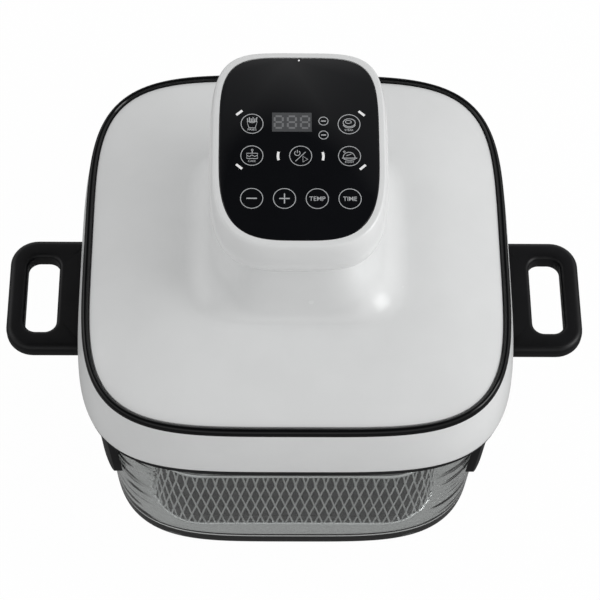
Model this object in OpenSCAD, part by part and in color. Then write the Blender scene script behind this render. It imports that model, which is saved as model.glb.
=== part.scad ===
// Square glass-bowl halogen oven with a lift-off powered lid, a wire mesh basket and two side handles.
// Millimetres, +Z up, front towards -Y, origin at the centre of the bowl's flat underside.

/* [Glass bowl] */
// Height of the glass bowl from the worktop to its rim
bowl_height = 172; // [150:1:200]
// Outer width of the bowl across its base, above the rounded bottom edge
bowl_base_w = 288; // [280:0.5:292]
// Outer width of the bowl just under its rim flange
bowl_top_w = 302; // [298:0.5:303.5]
// Squareness of the bowl in plan
bowl_n = 4.1; // [3.6:0.1:4.6]
// Thickness of the glass wall
glass_wall = 4.5; // [3.5:0.1:6]
// Thickness of the glass base
glass_base = 9; // [6:0.5:12]
// Radius of the rounded bottom edge
bowl_edge_r = 8; // [4:0.5:10]
// Outer width of the rim flange
flange_w = 310; // [307.5:0.5:311]
// Height of the rim flange
flange_h = 8.3; // [6:0.1:10]

/* [Bowl carrier and handles] */
// Outer width of the black carrier ring
carrier_w = 322; // [320:0.5:323]
// Height of the carrier ring at the front
carrier_ring_h = 6.7; // [5.5:0.1:9]
// Gap between the glass and the carrier
carrier_gap = 0.8; // [0.4:0.1:1.2]
// Thickness of the gasket under the rim flange
gasket_t = 1; // [0.6:0.1:1.8]
// Depth of the side skirts below the carrier ring
skirt_h = 52; // [45:1:60]
// Half length of a side skirt from front to back
skirt_reach = 133; // [110:1:136]
// Corner radius at the lower ends of a skirt
skirt_corner_r = 24; // [10:1:30]
// Outer width over the two side skirts at the bottom
skirt_w = 314; // [310:0.5:316]
// Distance from the centre to the outer edge of a handle
handle_reach = 217.5; // [205:0.5:225]
// Width of a handle from front to back
handle_w = 92; // [86:1:96]
// Thickness of a handle
handle_t = 14.5; // [10:0.5:18]
// Height of the top face of a handle above the worktop
handle_top = 144; // [135:1:150]
// Outer corner radius of a handle
handle_r = 21; // [12:1:26]
// Length of the finger slot from front to back
slot_l = 68; // [60:1:72]
// Width of the finger slot
slot_w = 24.4; // [20:0.2:27]
// Width of the bar outside the finger slot
grip_w = 12.5; // [10:0.5:16]
// Corner radius of the finger slot
slot_r = 9; // [4:0.5:10]
// Thread radius of a handle screw
handle_screw_r = 2; // [1.5:0.1:2.5]
// Half spacing of the two screws in a handle
handle_screw_y = 30; // [20:1:36]

/* [Basket] */
// Outer width of the mesh basket
basket_w = 260; // [240:1:264]
// Height of the top of the basket above the worktop
basket_top = 91; // [80:1:120]
// Plan corner radius of the basket
basket_r = 45; // [30:1:60]
// Thickness of the mesh
mesh_t = 1.2; // [0.8:0.1:2]
// Columns of mesh openings in one wall
mesh_cols = 14; // [8:1:15]
// Rows of mesh openings in one wall
mesh_rows = 3; // [2:1:3]
// Width of one mesh strand
strand_w = 1.6; // [1:0.1:2.2]
// Height of the hemmed rim
basket_rim_h = 3; // [2:0.5:5]
// Height of the silicone feet under the basket
basket_foot_h = 6; // [3:0.5:9]
// Radius of a foot
basket_foot_r = 6; // [4:0.5:9]
// Gap all round the crisper tray
tray_gap = 2; // [1:0.5:4]
// Height of the crisper tray
tray_h = 9; // [5:0.5:14]
// Thickness of the crisper tray
tray_t = 1.5; // [1:0.1:2.5]

/* [Lid] */
// Outer width of the lid band at its lower edge
band_w = 323; // [322:0.5:326]
// Outer width of the lid band at its upper edge
band_top_w = 312.6; // [310:0.2:316]
// Height of the lid band
band_h = 45.4; // [42:0.2:52]
// Wall of the lid band
band_wall = 2.6; // [2:0.1:3.2]
// Squareness of the band in plan
band_n = 4.2; // [3.8:0.1:4.6]
// Outer width of the lid top inside the black trim
lid_w = 300; // [296:0.5:302]
// Squareness of the lid top in plan
lid_n = 4.5; // [4.2:0.1:4.8]
// Wall of the lid top
lid_wall = 2.2; // [1.8:0.1:3]
// Height of the trim bead above the band
trim_h = 5.2; // [4:0.1:7]
// Height of the lid edge above the band
lid_edge_h = 3.4; // [2.4:0.1:3.8]
// Rise of the lid top from its edge to the foot of the pedestal
dome_rise = 14; // [9:0.5:18]
// Width of the foot of the pedestal
foot_w = 160; // [150:1:170]
// Front-to-back size of the foot of the pedestal
foot_d = 154; // [145:1:165]
// Height of the pedestal
pedestal_h = 54.2; // [50:0.2:60]
// Width of the seam between pedestal and pod
seam_w = 108; // [104:0.5:112]
// Front-to-back size of the seam
seam_d = 126; // [122:0.5:130]
// Gap between the closed lid and the bowl
lid_gap = 0.3; // [0.3:0.1:1]
// Height of the silicone seal under the lid
seal_h = 3.7; // [2.5:0.1:5]

/* [Control pod] */
// Height of the panel's centre above the seam
pod_h = 56; // [50:0.5:64]
// Width of the pod at its widest
belly_w = 124.5; // [122:0.5:130]
// Front-to-back size of the pod at its widest
belly_d = 155; // [152:0.5:160]
// Width of the white lip round the touch panel
lip_w = 3; // [2:0.1:4]
// Wall of the pod
pod_wall = 2.5; // [2:0.1:3.2]
// Slope of the touch panel towards the front
panel_tilt = 6; // [3:0.5:8]
// Width of the touch panel
panel_w = 110; // [106:0.5:113]
// Front-to-back size of the touch panel
panel_d = 141; // [138:0.5:145]
// Thickness of the touch panel
panel_t = 3; // [2:0.1:4]
// Distance between neighbouring keys of the front row
key_pitch = 22.3; // [20:0.1:24]
// Distance of the outer keys from the centre line
key_side = 33.5; // [30:0.5:36]
// Thickness of the light frame between panel and touch board
light_frame_t = 8; // [6:0.5:10]
// Thickness of a circuit board
board_t = 1.6; // [1:0.1:2]

/* [Heating and fan] */
// Radius of the opening of the reflector pan
pan_r = 116; // [112:0.5:117]
// Depth of the reflector pan
pan_depth = 27; // [25:0.5:28]
// Thickness of the sheet metal parts
sheet_t = 0.8; // [0.6:0.1:1.2]
// Radius of the ring-shaped halogen lamp
lamp_ring_r = 84; // [78:0.5:90]
// Radius of the lamp tube
lamp_tube_r = 5.5; // [4.5:0.1:6.5]
// Gap in the lamp ring between its two ends, in degrees
lamp_gap_angle = 34; // [28:1:50]
// Radius of the hot-air fan
fan_r = 62; // [50:1:68]
// Height of the blades of the hot-air fan
fan_h = 12; // [8:0.5:14]
// Blades on the hot-air fan
fan_blades = 8; // [5:1:12]
// Radius of the motor shaft
shaft_r = 3; // [2.5:0.1:4]
// Radial clearance between shaft and bush
shaft_fit = 0.05; // [0.02:0.01:0.09]
// Radius of the motor
motor_r = 33; // [28:0.5:36]
// Height of the motor
motor_h = 42; // [36:1:44]
// Radius of the cooling fan
cool_fan_r = 42; // [34:1:45]
// Height of the cooling fan
cool_fan_h = 9; // [6:0.5:9.5]
// Blades on the cooling fan
cool_fan_blades = 7; // [5:1:11]
// Radius of the wire of the fan guard
guard_wire_r = 1.5; // [1:0.1:2]

/* [Hidden] */

seg = 72; // points round a rounded-square outline
fine = 48; // facets round a drawn circle
cut = 1; // how far a cutting shape runs past a face
hole_gap = 0.05; // radial gap round a screw

white = "#D4D6D6";
black = "#18181A";
steel = "#B9BCC0";
silicone = "#C9CDD1";

// Heights of the base, worked up from the worktop
ring_top = bowl_height - flange_h;
ring_bottom = ring_top - carrier_ring_h;
skirt_bottom = ring_bottom - skirt_h;
mesh_bottom = glass_base + basket_foot_h;
mesh_top = basket_top - basket_rim_h;

// Heights of the lid
band_bottom = ring_top + lid_gap;
band_top = band_bottom + band_h;
lid_edge = band_top + lid_edge_h;
foot_z = lid_edge + dome_rise;
seam_z = foot_z + pedestal_h;
seal_z = bowl_height + lid_gap;
plate_z = seal_z + seal_h;
plate_t = 2.5;
plate_top = plate_z + plate_t;
pan_top = plate_top + pan_depth;
pad_t = 3.2;
shield_z = pan_top + pad_t;
shield_top = shield_z + sheet_t;
bracket_t = 1.5;
bracket_rise = 5;
bracket_top = shield_top + bracket_rise + bracket_t;
motor_top = bracket_top + motor_h;
cool_fan_z = motor_top + 3;
lamp_z = plate_top + 5.5;
fan_z = plate_top + 9;
guard_z = plate_z - sheet_t - guard_wire_r;

// Plan sizes of the lid
seal_w = flange_w - 3;
seal_inner_w = seal_w - 10;
shelf_w = lid_w - 16;
shelf_t = 2.5;
plate_w = band_w - 2 * band_wall - 2.4;
trim_gap = 0.4;
boss_r = 5;
boss_y = shelf_w / 2 - boss_r - 4;
boss_corner = shelf_w / 2 * pow(2, -1 / lid_n) - boss_r - 3;
boss_places = [[boss_corner, boss_corner], [-boss_corner, boss_corner], [boss_corner, -boss_corner],
    [-boss_corner, -boss_corner], [boss_y, 0], [-boss_y, 0], [0, -boss_y]];
lid_screw_r = 1.5;

// The pod
panel_z = seam_z + pod_h;
belly_z = seam_z + pod_h * 0.66;
spigot_h = 6;
spigot_gap = 0.3;
step_z = seam_z + 2.5;
panel_gap = 0.3;
ledge_w = 4;
pod_front_n = 3.4;
pod_back_n = 4.5;
chassis_z = step_z;
chassis_t = 2.5;
chassis_w = seam_w - 2 * pod_wall - 1;
chassis_d = seam_d - 2 * pod_wall - 1;
power_board_z = chassis_z + chassis_t + 5;
key_front_y = -38;
key_mid_y = -5;
key_back_y = 20;
key_places = [[-1.5 * key_pitch, key_front_y], [-0.5 * key_pitch, key_front_y],
    [0.5 * key_pitch, key_front_y], [1.5 * key_pitch, key_front_y], [-key_side, key_mid_y], [0, key_mid_y],
    [key_side, key_mid_y], [-key_side, key_back_y], [key_side, key_back_y]];
key_hole_r = 7;
display_size = [27.6, 15, 6];
display_place = [-5.5, 21.5];
led_places = [[16.5, 22.8], [16.5, 11.3]];
led_r = 2;
board_screw_places = [[-34, -49], [34, -49], [-34, 49], [34, 49]];

// The handles and their screws
boss_face_x = carrier_w / 2 + 0.5;
handle_z = handle_top - handle_t;
screw_z = handle_top - handle_t / 2;
handle_screw_l = 20;
handle_head_r = handle_screw_r * 2;
handle_head_h = 3;
slot_x = handle_reach - grip_w - slot_w;

// The inlet
inlet_size = [27, 21, 19];
inlet_z = plate_top + 14.5;
inlet_y = band_w / 2 - band_wall - 0.6;
inlet_ear_x = 20;
inlet_ear_y = 6;
inlet_ear_t = 2.5;
inlet_screw_x = 17;
inlet_screw_r = 1.2;

// ---- outlines and lofts ----

// One level of a loft: width, depth, squareness at the front and at the back, height, slope and shift
function ring(w, d, n, z, slope = 0, shift = 0, back_n = 0) =
    [w, d, n, back_n == 0 ? n : back_n, z, slope, shift];

// Factor that pulls a circle out to a rounded square of squareness n
function square_out(a, n) = pow(pow(abs(cos(a)), n) + pow(abs(sin(a)), n), -1 / n);

function ring_points(r) = [
    for (i = [0:seg - 1])
        let (a = 360 * i / seg, k = square_out(a, sin(a) > 0 ? r[3] : r[2]), y = r[1] / 2 * k * sin(a))
        [r[0] / 2 * k * cos(a), y + r[6], r[4] + y * tan(r[5])]
];

function plan_points(w, d, n) = [for (p = ring_points(ring(w, d, n, 0))) [p[0], p[1]]];

function mix(a, b, t) = a + (b - a) * t;

// Joins rings that follow each other; a looped loft closes on its first ring, the other is capped
module loft(rings, looped = false) {
    count = len(rings);
    points = [for (r = rings) each ring_points(r)];
    sides = [
        for (j = [0:looped ? count - 1 : count - 2], i = [0:seg - 1])
            let (
                a = j * seg + i, b = j * seg + (i + 1) % seg,
                c = (j + 1) % count * seg + i, d = (j + 1) % count * seg + (i + 1) % seg
            )
            each [[a, c, b], [b, c, d]]
    ];
    caps = looped ? [] : [
        [for (i = [0:seg - 1]) i],
        [for (i = [0:seg - 1]) count * seg - 1 - i]
    ];
    polyhedron(points = points, faces = concat(sides, caps));
}

// Flat rectangle with round corners
module rounded_rect(w, d, r) {
    square([w, d - 2 * r], center = true);
    square([w - 2 * r, d], center = true);
    for (x = [-1, 1], y = [-1, 1]) translate([x * (w / 2 - r), y * (d / 2 - r)]) circle(r, $fn = fine);
}

module rod(r, h) {
    cylinder(r = r, h = h, $fn = fine);
}

// A screw standing on z = 0 with its head above
module screw(r, length, head_r, head_h) {
    translate([0, 0, -length]) rod(r, length + 0.01);
    rod(head_r, head_h);
}

module mirror_pair() {
    children();
    mirror([1, 0, 0]) children();
}

// ---- bowl, carrier and handles ----

function bowl_w(z) = mix(bowl_base_w, bowl_top_w, (z - bowl_edge_r) / (ring_top - bowl_edge_r));

module glass_bowl() {
    edge = [for (a = [0:22.5:90]) ring(bowl_base_w - 2 * bowl_edge_r * (1 - sin(a)),
        bowl_base_w - 2 * bowl_edge_r * (1 - sin(a)), bowl_n, bowl_edge_r * (1 - cos(a)))];
    inner_r = bowl_edge_r + 2;
    inner_base = bowl_w(glass_base + inner_r) - 2 * glass_wall;
    well = [for (a = [90:-22.5:0]) ring(inner_base - 2 * inner_r * (1 - sin(a)),
        inner_base - 2 * inner_r * (1 - sin(a)), bowl_n, glass_base + inner_r * (1 - cos(a)))];
    mouth_w = bowl_top_w - 2 * glass_wall;
    color("#B8C4C2", 0.4) loft(concat(edge, [
        ring(bowl_top_w, bowl_top_w, bowl_n, ring_top),
        ring(flange_w - 1, flange_w - 1, bowl_n, ring_top),
        ring(flange_w, flange_w, bowl_n, ring_top + 1.5),
        ring(flange_w, flange_w, bowl_n, bowl_height - 1.5),
        ring(flange_w - 2, flange_w - 2, bowl_n, bowl_height),
        ring(mouth_w + 2, mouth_w + 2, bowl_n, bowl_height),
        ring(mouth_w, mouth_w, bowl_n, bowl_height - 1.5)
    ], well));
}

module skirt_profile() {
    // A side skirt seen along X: round lower ends, straight up to the ring
    translate([0, skirt_bottom + skirt_corner_r]) {
        translate([-skirt_reach, 0]) square([2 * skirt_reach, ring_bottom - skirt_bottom]);
        for (s = [-1, 1]) translate([s * (skirt_reach - skirt_corner_r), 0]) circle(skirt_corner_r, $fn = fine);
        translate([-skirt_reach + skirt_corner_r, -skirt_corner_r])
            square([2 * (skirt_reach - skirt_corner_r), skirt_corner_r + 1]);
    }
}

module bowl_carrier() {
    gap_w = 2 * carrier_gap;
    color(black) difference() {
        union() {
            loft([
                ring(carrier_w - 2, carrier_w - 2, bowl_n, ring_bottom),
                ring(carrier_w, carrier_w, bowl_n, ring_bottom + 1.5),
                ring(carrier_w, carrier_w, bowl_n, ring_top - 1),
                ring(carrier_w - 1.5, carrier_w - 1.5, bowl_n, ring_top)
            ]);
            intersection() {
                loft([
                    ring(skirt_w, skirt_w, bowl_n, skirt_bottom),
                    ring(carrier_w - 2, carrier_w - 2, bowl_n, ring_bottom + 1)
                ]);
                rotate([90, 0, 90]) translate([0, 0, -carrier_w]) linear_extrude(2 * carrier_w)
                    intersection() {
                        skirt_profile();
                        translate([-carrier_w, 0]) square([2 * carrier_w, ring_bottom + 1]);
                    }
                union() for (s = [0, 1]) mirror([s, 0, 0])
                    translate([90, -carrier_w, 0]) cube([carrier_w, 2 * carrier_w, bowl_height]);
            }
            mirror_pair() translate([boss_face_x - 20, -handle_w / 2 - 2, handle_z - 2.5])
                cube([20, handle_w + 4, handle_t + 5]);
        }
        loft([
            ring(bowl_w(skirt_bottom - cut) + gap_w, bowl_w(skirt_bottom - cut) + gap_w, bowl_n,
                skirt_bottom - cut),
            ring(bowl_w(ring_top + cut) + gap_w, bowl_w(ring_top + cut) + gap_w, bowl_n, ring_top + cut)
        ]);
        gasket_space(hole_gap * 2, cut);
        mirror_pair() for (y = [-handle_screw_y, handle_screw_y])
            translate([0, y, screw_z]) rotate([0, 90, 0]) {
                translate([0, 0, boss_face_x - 20 - cut]) rod(handle_screw_r + hole_gap, 20 + 2 * cut);
                translate([0, 0, boss_face_x - 20 - cut])
                    rod(handle_head_r + 2 * hole_gap, 20 + cut - handle_seat);
            }
        translate([0, magnet_y, ring_bottom - cut]) rod(magnet_r + hole_gap, magnet_h + cut);
    }
}

// Wall left under a handle screw's head
handle_seat = 4;
magnet_r = 2.8;
magnet_h = 3.5;
magnet_y = (flange_w + carrier_w) / 4;

module gasket_space(extra = 0, above = 0) {
    outer_w = flange_w - 1 + 2 * extra;
    loft([
        ring(outer_w, outer_w, bowl_n, ring_top - gasket_t),
        ring(outer_w, outer_w, bowl_n, ring_top + above)
    ]);
}

module carrier_gasket() {
    inner_w = bowl_top_w + 0.6;
    color(silicone) loft([
        ring(inner_w, inner_w, bowl_n, ring_top - gasket_t),
        ring(flange_w - 1, flange_w - 1, bowl_n, ring_top - gasket_t),
        ring(flange_w - 1, flange_w - 1, bowl_n, ring_top),
        ring(inner_w, inner_w, bowl_n, ring_top)
    ], looped = true);
}

module handle() {
    tongue = handle_reach - boss_face_x;
    difference() {
        translate([0, 0, handle_z]) linear_extrude(handle_t) difference() {
            union() {
                translate([boss_face_x, -handle_w / 2]) square([tongue - handle_r, handle_w]);
                translate([boss_face_x, -handle_w / 2 + handle_r]) square([tongue, handle_w - 2 * handle_r]);
                for (s = [-1, 1]) translate([handle_reach - handle_r, s * (handle_w / 2 - handle_r)])
                    circle(handle_r, $fn = fine);
            }
            translate([slot_x + slot_w / 2, 0]) rounded_rect(slot_w, slot_l, slot_r);
        }
        for (y = [-handle_screw_y, handle_screw_y]) translate([boss_face_x - cut, y, screw_z])
            rotate([0, 90, 0]) rod(handle_screw_r + hole_gap, handle_screw_l - handle_seat + 2 * cut);
    }
}

module handle_right() {
    color(black) handle();
}

module handle_left() {
    color(black) mirror([1, 0, 0]) handle();
}

module handle_screws() {
    color(steel) mirror_pair() for (y = [-handle_screw_y, handle_screw_y])
        translate([boss_face_x - handle_seat, y, screw_z]) rotate([0, -90, 0])
            screw(handle_screw_r, handle_screw_l, handle_head_r, handle_head_h);
}

module lid_magnet() {
    color(steel) translate([0, magnet_y, ring_bottom]) rod(magnet_r, magnet_h);
}

// ---- basket ----

// A flat wall of diamond openings, drawn as one outline with holes
module net_wall(length, height) {
    a = length / mesh_cols / 2;
    b = height / mesh_rows / 2;
    slant = sqrt(a * a + b * b);
    hole_a = a - strand_w / 2 * slant / b;
    hole_b = b - strand_w / 2 * slant / a;
    centres = [
        for (row = [1:2 * mesh_rows - 1], col = [1:2 * mesh_cols - 1]) if ((row + col) % 2 == 0)
            [col * a, row * b]
    ];
    frame = [[0, 0], [length, 0], [length, height], [0, height]];
    holes = [for (c = centres) each [c + [hole_a, 0], c + [0, hole_b], c - [hole_a, 0], c - [0, hole_b]]];
    polygon(
        points = concat(frame, holes),
        paths = concat([[0, 1, 2, 3]], [for (k = [0:len(centres) - 1]) [for (i = [0:3]) 4 + 4 * k + i]])
    );
}

module basket_mesh() {
    wall_l = basket_w - 2 * basket_r;
    wall_h = mesh_top - mesh_bottom;
    color(steel) {
        for (k = [0:3]) rotate([0, 0, 90 * k]) {
            translate([-wall_l / 2, -basket_w / 2 + mesh_t, mesh_bottom]) rotate([90, 0, 0])
                linear_extrude(mesh_t) net_wall(wall_l, wall_h);
            translate([wall_l / 2, -wall_l / 2, mesh_bottom]) rotate([0, 0, -90])
                rotate_extrude(angle = 90, $fn = fine) translate([basket_r - mesh_t, 0])
                    square([mesh_t, wall_h]);
        }
        translate([0, 0, mesh_bottom]) linear_extrude(mesh_t) rounded_rect(basket_w, basket_w, basket_r);
    }
}

module basket_rim() {
    color(steel) translate([0, 0, mesh_top]) linear_extrude(basket_rim_h) difference() {
        rounded_rect(basket_w + 1.6, basket_w + 1.6, basket_r + 0.8);
        rounded_rect(basket_w - 2 * mesh_t - 1.6, basket_w - 2 * mesh_t - 1.6, basket_r - mesh_t - 0.8);
    }
}

module basket_feet() {
    place = basket_w / 2 - basket_r;
    color(silicone) for (x = [-place, place], y = [-place, place])
        translate([x, y, glass_base]) rod(basket_foot_r, basket_foot_h);
}

module crisper_tray() {
    outer_w = basket_w - 2 * (mesh_t + tray_gap);
    outer_r = basket_r - mesh_t - tray_gap;
    color("#2C2D2F") translate([0, 0, mesh_bottom + mesh_t]) difference() {
        linear_extrude(tray_h) rounded_rect(outer_w, outer_w, outer_r);
        translate([0, 0, tray_t]) linear_extrude(tray_h)
            rounded_rect(outer_w - 2 * tray_t, outer_w - 2 * tray_t, outer_r - tray_t);
    }
}

// ---- lid casing ----

function band_out(z) = mix(band_top_w, band_w, sin(90 * (band_top - z) / band_h));

module lid_side_band() {
    levels = [for (t = [0.03, 0.2, 0.4, 0.6, 0.8, 0.93]) mix(band_bottom, band_top, t)];
    outer = [for (z = levels) ring(band_out(z), band_out(z), band_n, z)];
    wall_w = 2 * band_wall;
    inner = [for (i = [len(levels) - 2:-1:0])
        ring(band_out(levels[i]) - wall_w, band_out(levels[i]) - wall_w, band_n, levels[i])];
    color(white) difference() {
        union() {
        loft(concat(
            [ring(band_w - 1.6, band_w - 1.6, band_n, band_bottom)],
            outer,
            [
                ring(band_top_w, band_top_w, band_n, band_top),
                ring(shelf_w, shelf_w, lid_n, band_top),
                ring(shelf_w, shelf_w, lid_n, band_top - shelf_t),
                ring(band_top_w - 3, band_top_w - 3, band_n, band_top - shelf_t)
            ],
            inner,
            [ring(band_w - wall_w, band_w - wall_w, band_n, band_bottom)]
        ), looped = true);
            for (x = [-1, 1]) translate([x * inlet_screw_x, inlet_y - inlet_ear_y + inlet_ear_t, inlet_z])
                rotate([-90, 0, 0]) rod(2.8, inlet_ear_y - inlet_ear_t + 0.8);
        }
        for (x = [-1, 1]) translate([x * inlet_screw_x, inlet_y - inlet_ear_y, inlet_z])
            rotate([-90, 0, 0]) rod(inlet_screw_r + hole_gap, inlet_ear_t + 4.1);
        translate([0, band_w / 2, inlet_z]) cube([inlet_size[0] + 0.6, 16, inlet_size[2] + 0.6], center = true);
    }
}

module lid_trim_ring() {
    inner_w = lid_w + 2 * trim_gap;
    bead = (band_top_w - inner_w) / 2;
    crown = [for (a = [0:30:180]) ring(inner_w + bead * (1 + cos(a)), inner_w + bead * (1 + cos(a)),
        mix(lid_n, band_n, (1 + cos(a)) / 2), band_top + 1 + (trim_h - 1) * sin(a))];
    color("#0E0E10") loft(concat(
        [ring(band_top_w, band_top_w, band_n, band_top)],
        crown,
        [ring(inner_w, inner_w, lid_n, band_top)]
    ), looped = true);
}

// Height of the lid top where its outline has the width w
function dome_z(w) = lid_edge + dome_rise * sin(90 * (lid_w - w) / (lid_w - foot_w));

// One level of the lid top, t from 0 at the edge to 1 at the foot of the pedestal
function dome_ring(t, in, down) =
    ring(mix(lid_w, foot_w, t) - 2 * in, mix(lid_w, foot_d, t) - 2 * in, mix(lid_n, 3.9, t),
        lid_edge + dome_rise * sin(90 * t) - down);

// One level of the pedestal, t from 0 at its foot to 1 at the seam
function pedestal_ring(t, in, down) =
    ring(mix(foot_w, seam_w, sin(90 * t)) - 2 * in, mix(foot_d, seam_d, sin(90 * t)) - 2 * in,
        mix(3.9, 3.5, t), foot_z + pedestal_h * (1 - cos(90 * t)) - down);

module lid_top_shell() {
    inset = lid_wall;
    dome_steps = [0.12:0.22:0.9];
    pedestal_steps = [0.06:0.15:0.84];
    outer = concat([for (t = dome_steps) dome_ring(t, 0, 0)], [for (t = pedestal_steps) pedestal_ring(t, 0, 0)],
        [pedestal_ring(1, 0, 0)]);
    inner = concat([pedestal_ring(1, inset, 0)],
        [for (i = [5:-1:0]) pedestal_ring(0.06 + 0.15 * i, inset, inset)],
        [for (i = [3:-1:0]) dome_ring(0.12 + 0.22 * i, inset, inset)]);
    color(white) difference() {
        union() {
            loft(concat(
                [ring(lid_w, lid_w, lid_n, band_top), ring(lid_w, lid_w, lid_n, lid_edge - 0.8),
                    ring(lid_w - 1.6, lid_w - 1.6, lid_n, lid_edge)],
                outer,
                inner,
                [ring(lid_w - 2 * inset - 2, lid_w - 2 * inset - 2, lid_n, band_top)]
            ), looped = true);
            for (p = boss_places) translate([p[0], p[1], plate_top])
                rod(boss_r, dome_z(2 * (boss_y + boss_r)) - 0.6 - plate_top);
        }
        for (p = boss_places) translate([p[0], p[1], plate_top - cut]) rod(lid_screw_r + hole_gap, 18 + cut);
    }
}

module lid_base_plate() {
    color("#2B2B2D") translate([0, 0, plate_z]) difference() {
        linear_extrude(plate_t) polygon(plan_points(plate_w, plate_w, band_n));
        translate([0, 0, -cut]) rod(pan_r + 2, plate_t + 2 * cut);
        for (p = boss_places) translate([p[0], p[1], -cut]) rod(lid_screw_r + hole_gap, plate_t + 2 * cut);
        for (p = guard_places) translate([p[0], p[1], -cut]) rod(guard_screw_r + hole_gap, plate_t + 2 * cut);
    }
}

module lid_seal() {
    color(silicone) loft([
        ring(seal_inner_w, seal_inner_w, bowl_n, seal_z + 0.6),
        ring(seal_inner_w + 1, seal_inner_w + 1, bowl_n, seal_z),
        ring(seal_w - 1, seal_w - 1, bowl_n, seal_z),
        ring(seal_w, seal_w, bowl_n, seal_z + 0.6),
        ring(seal_w, seal_w, bowl_n, plate_z),
        ring(seal_inner_w, seal_inner_w, bowl_n, plate_z)
    ], looped = true);
}

module lid_screws() {
    color(steel) for (p = boss_places) translate([p[0], p[1], plate_z]) mirror([0, 0, 1])
        screw(lid_screw_r, 16, 3, 1.8);
}

// ---- reflector, lamp and guard ----

pan_flange_r = pan_r + 7;
pan_top_r = pan_r - 12;
shaft_hole_r = shaft_r + 2.5;
cap_r = 8;
cap_angles = [90 - lamp_gap_angle / 2, 90 + lamp_gap_angle / 2];
clip_angles = [210, 270, 330];
bracket_x = 56;
bracket_y = 18;
bracket_places = [[-bracket_x, -bracket_y], [bracket_x, -bracket_y], [-bracket_x, bracket_y],
    [bracket_x, bracket_y]];
bracket_screw_r = 1.5;
sensor_place = [38, 46];
sensor_r = 2.5;
guard_screw_r = 1.5;
guard_reach = pan_r + 5;
guard_places = [for (a = [45:90:315]) [guard_reach * cos(a), guard_reach * sin(a)]];

module reflector_pan() {
    color(steel) difference() {
        translate([0, 0, plate_top]) rotate_extrude($fn = fine) polygon([
            [pan_r, 0], [pan_flange_r - 4, 0], [pan_flange_r - 4, sheet_t], [pan_r + 0.8, sheet_t],
            [pan_top_r + 0.8, pan_depth], [0, pan_depth], [0, pan_depth - sheet_t],
            [pan_top_r, pan_depth - sheet_t]
        ]);
        translate([0, 0, pan_top - 3]) {
            rod(shaft_hole_r, 6);
            for (a = cap_angles) rotate([0, 0, a]) translate([lamp_ring_r, 0, 0]) rod(cap_r + 0.3, 6);
            for (p = bracket_places) translate([p[0], p[1], 0]) rod(bracket_screw_r + hole_gap, 6);
            translate([sensor_place[0], sensor_place[1], 0]) rod(sensor_r + hole_gap, 6);
            for (a = clip_angles) rotate([0, 0, a]) translate([lamp_ring_r, 0, 3])
                cube([3.4, 6.4, 6], center = true);
        }
    }
}

module insulation_pad() {
    color("#D8D2C4") difference() {
        translate([0, 0, pan_top]) rod(pan_top_r - 34, pad_t);
        translate([0, 0, pan_top - cut]) {
            rod(shaft_hole_r + 6, pad_t + 2 * cut);
            for (p = bracket_places) translate([p[0], p[1], 0]) rod(bracket_screw_r + hole_gap, pad_t + 2 * cut);
            translate([sensor_place[0], sensor_place[1], 0]) rod(sensor_r + hole_gap, pad_t + 2 * cut);
        }
    }
}

module heat_shield() {
    color(steel) difference() {
        translate([0, 0, shield_z]) rod(pan_top_r - 4, sheet_t);
        translate([0, 0, shield_z - cut]) {
            rod(shaft_hole_r, sheet_t + 2 * cut);
            for (p = bracket_places)
                translate([p[0], p[1], 0]) rod(bracket_screw_r + hole_gap, sheet_t + 2 * cut);
            translate([sensor_place[0], sensor_place[1], 0]) rod(sensor_r + hole_gap, sheet_t + 2 * cut);
            for (a = cap_angles) rotate([0, 0, a]) translate([lamp_ring_r, 0, 0])
                rod(cap_r + 0.3, sheet_t + 2 * cut);
        }
    }
}

module halogen_lamp() {
    clear = asin((cap_r + 0.05) / lamp_ring_r);
    start_a = 90 + lamp_gap_angle / 2 + clear;
    color("#F0E6D0", 0.7) translate([0, 0, lamp_z]) rotate([0, 0, start_a])
        rotate_extrude(angle = 360 - lamp_gap_angle - 2 * clear, $fn = fine)
            translate([lamp_ring_r, 0]) circle(lamp_tube_r, $fn = fine);
}

module lamp_end_caps() {
    cap_bottom = lamp_z - lamp_tube_r - 1.5;
    color("#EDE9E0") for (a = cap_angles) rotate([0, 0, a])
        translate([lamp_ring_r, 0, cap_bottom]) rod(cap_r, shield_top + 5 - cap_bottom);
}

module lamp_clips() {
    strip_t = 0.8;
    ring_r = lamp_tube_r + 0.1;
    color(steel) for (a = clip_angles) rotate([0, 0, a]) translate([lamp_ring_r, 0, lamp_z]) {
        rotate([90, 0, 0]) translate([0, 0, -3]) difference() {
            rod(ring_r + strip_t, 6);
            translate([0, 0, -cut]) rod(ring_r, 6 + 2 * cut);
            translate([-3, -ring_r - 3, -cut]) cube([6, 4, 6 + 2 * cut]);
        }
        translate([-strip_t, -3, ring_r + strip_t / 2]) cube([2 * strip_t, 6, pan_top - lamp_z - ring_r]);
    }
}

module fan_guard() {
    outer_r = pan_r - 4;
    ring_rs = [for (k = [1:5]) outer_r * k / 5];
    color(steel) translate([0, 0, guard_z]) difference() {
        union() {
            for (r = ring_rs) rotate_extrude($fn = fine) translate([r, 0]) circle(guard_wire_r, $fn = fine);
            for (a = [45, 135]) rotate([0, 0, a]) translate([-outer_r, 0, guard_wire_r * 0.6])
                rotate([0, 90, 0]) rod(guard_wire_r, 2 * outer_r);
            for (a = [45:90:315]) rotate([0, 0, a]) translate([outer_r - 2, -5, guard_wire_r])
                cube([guard_reach + 5 - outer_r + 2, 10, sheet_t]);
            rod(9, guard_wire_r);
        }
        for (p = guard_places) translate([p[0], p[1], -cut]) rod(guard_screw_r + hole_gap, 6);
    }
}

module guard_screws() {
    color(steel) for (p = guard_places) translate([p[0], p[1], plate_z - sheet_t]) mirror([0, 0, 1])
        screw(guard_screw_r, sheet_t + plate_t + 3, 2.8, 1.6);
}

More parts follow.
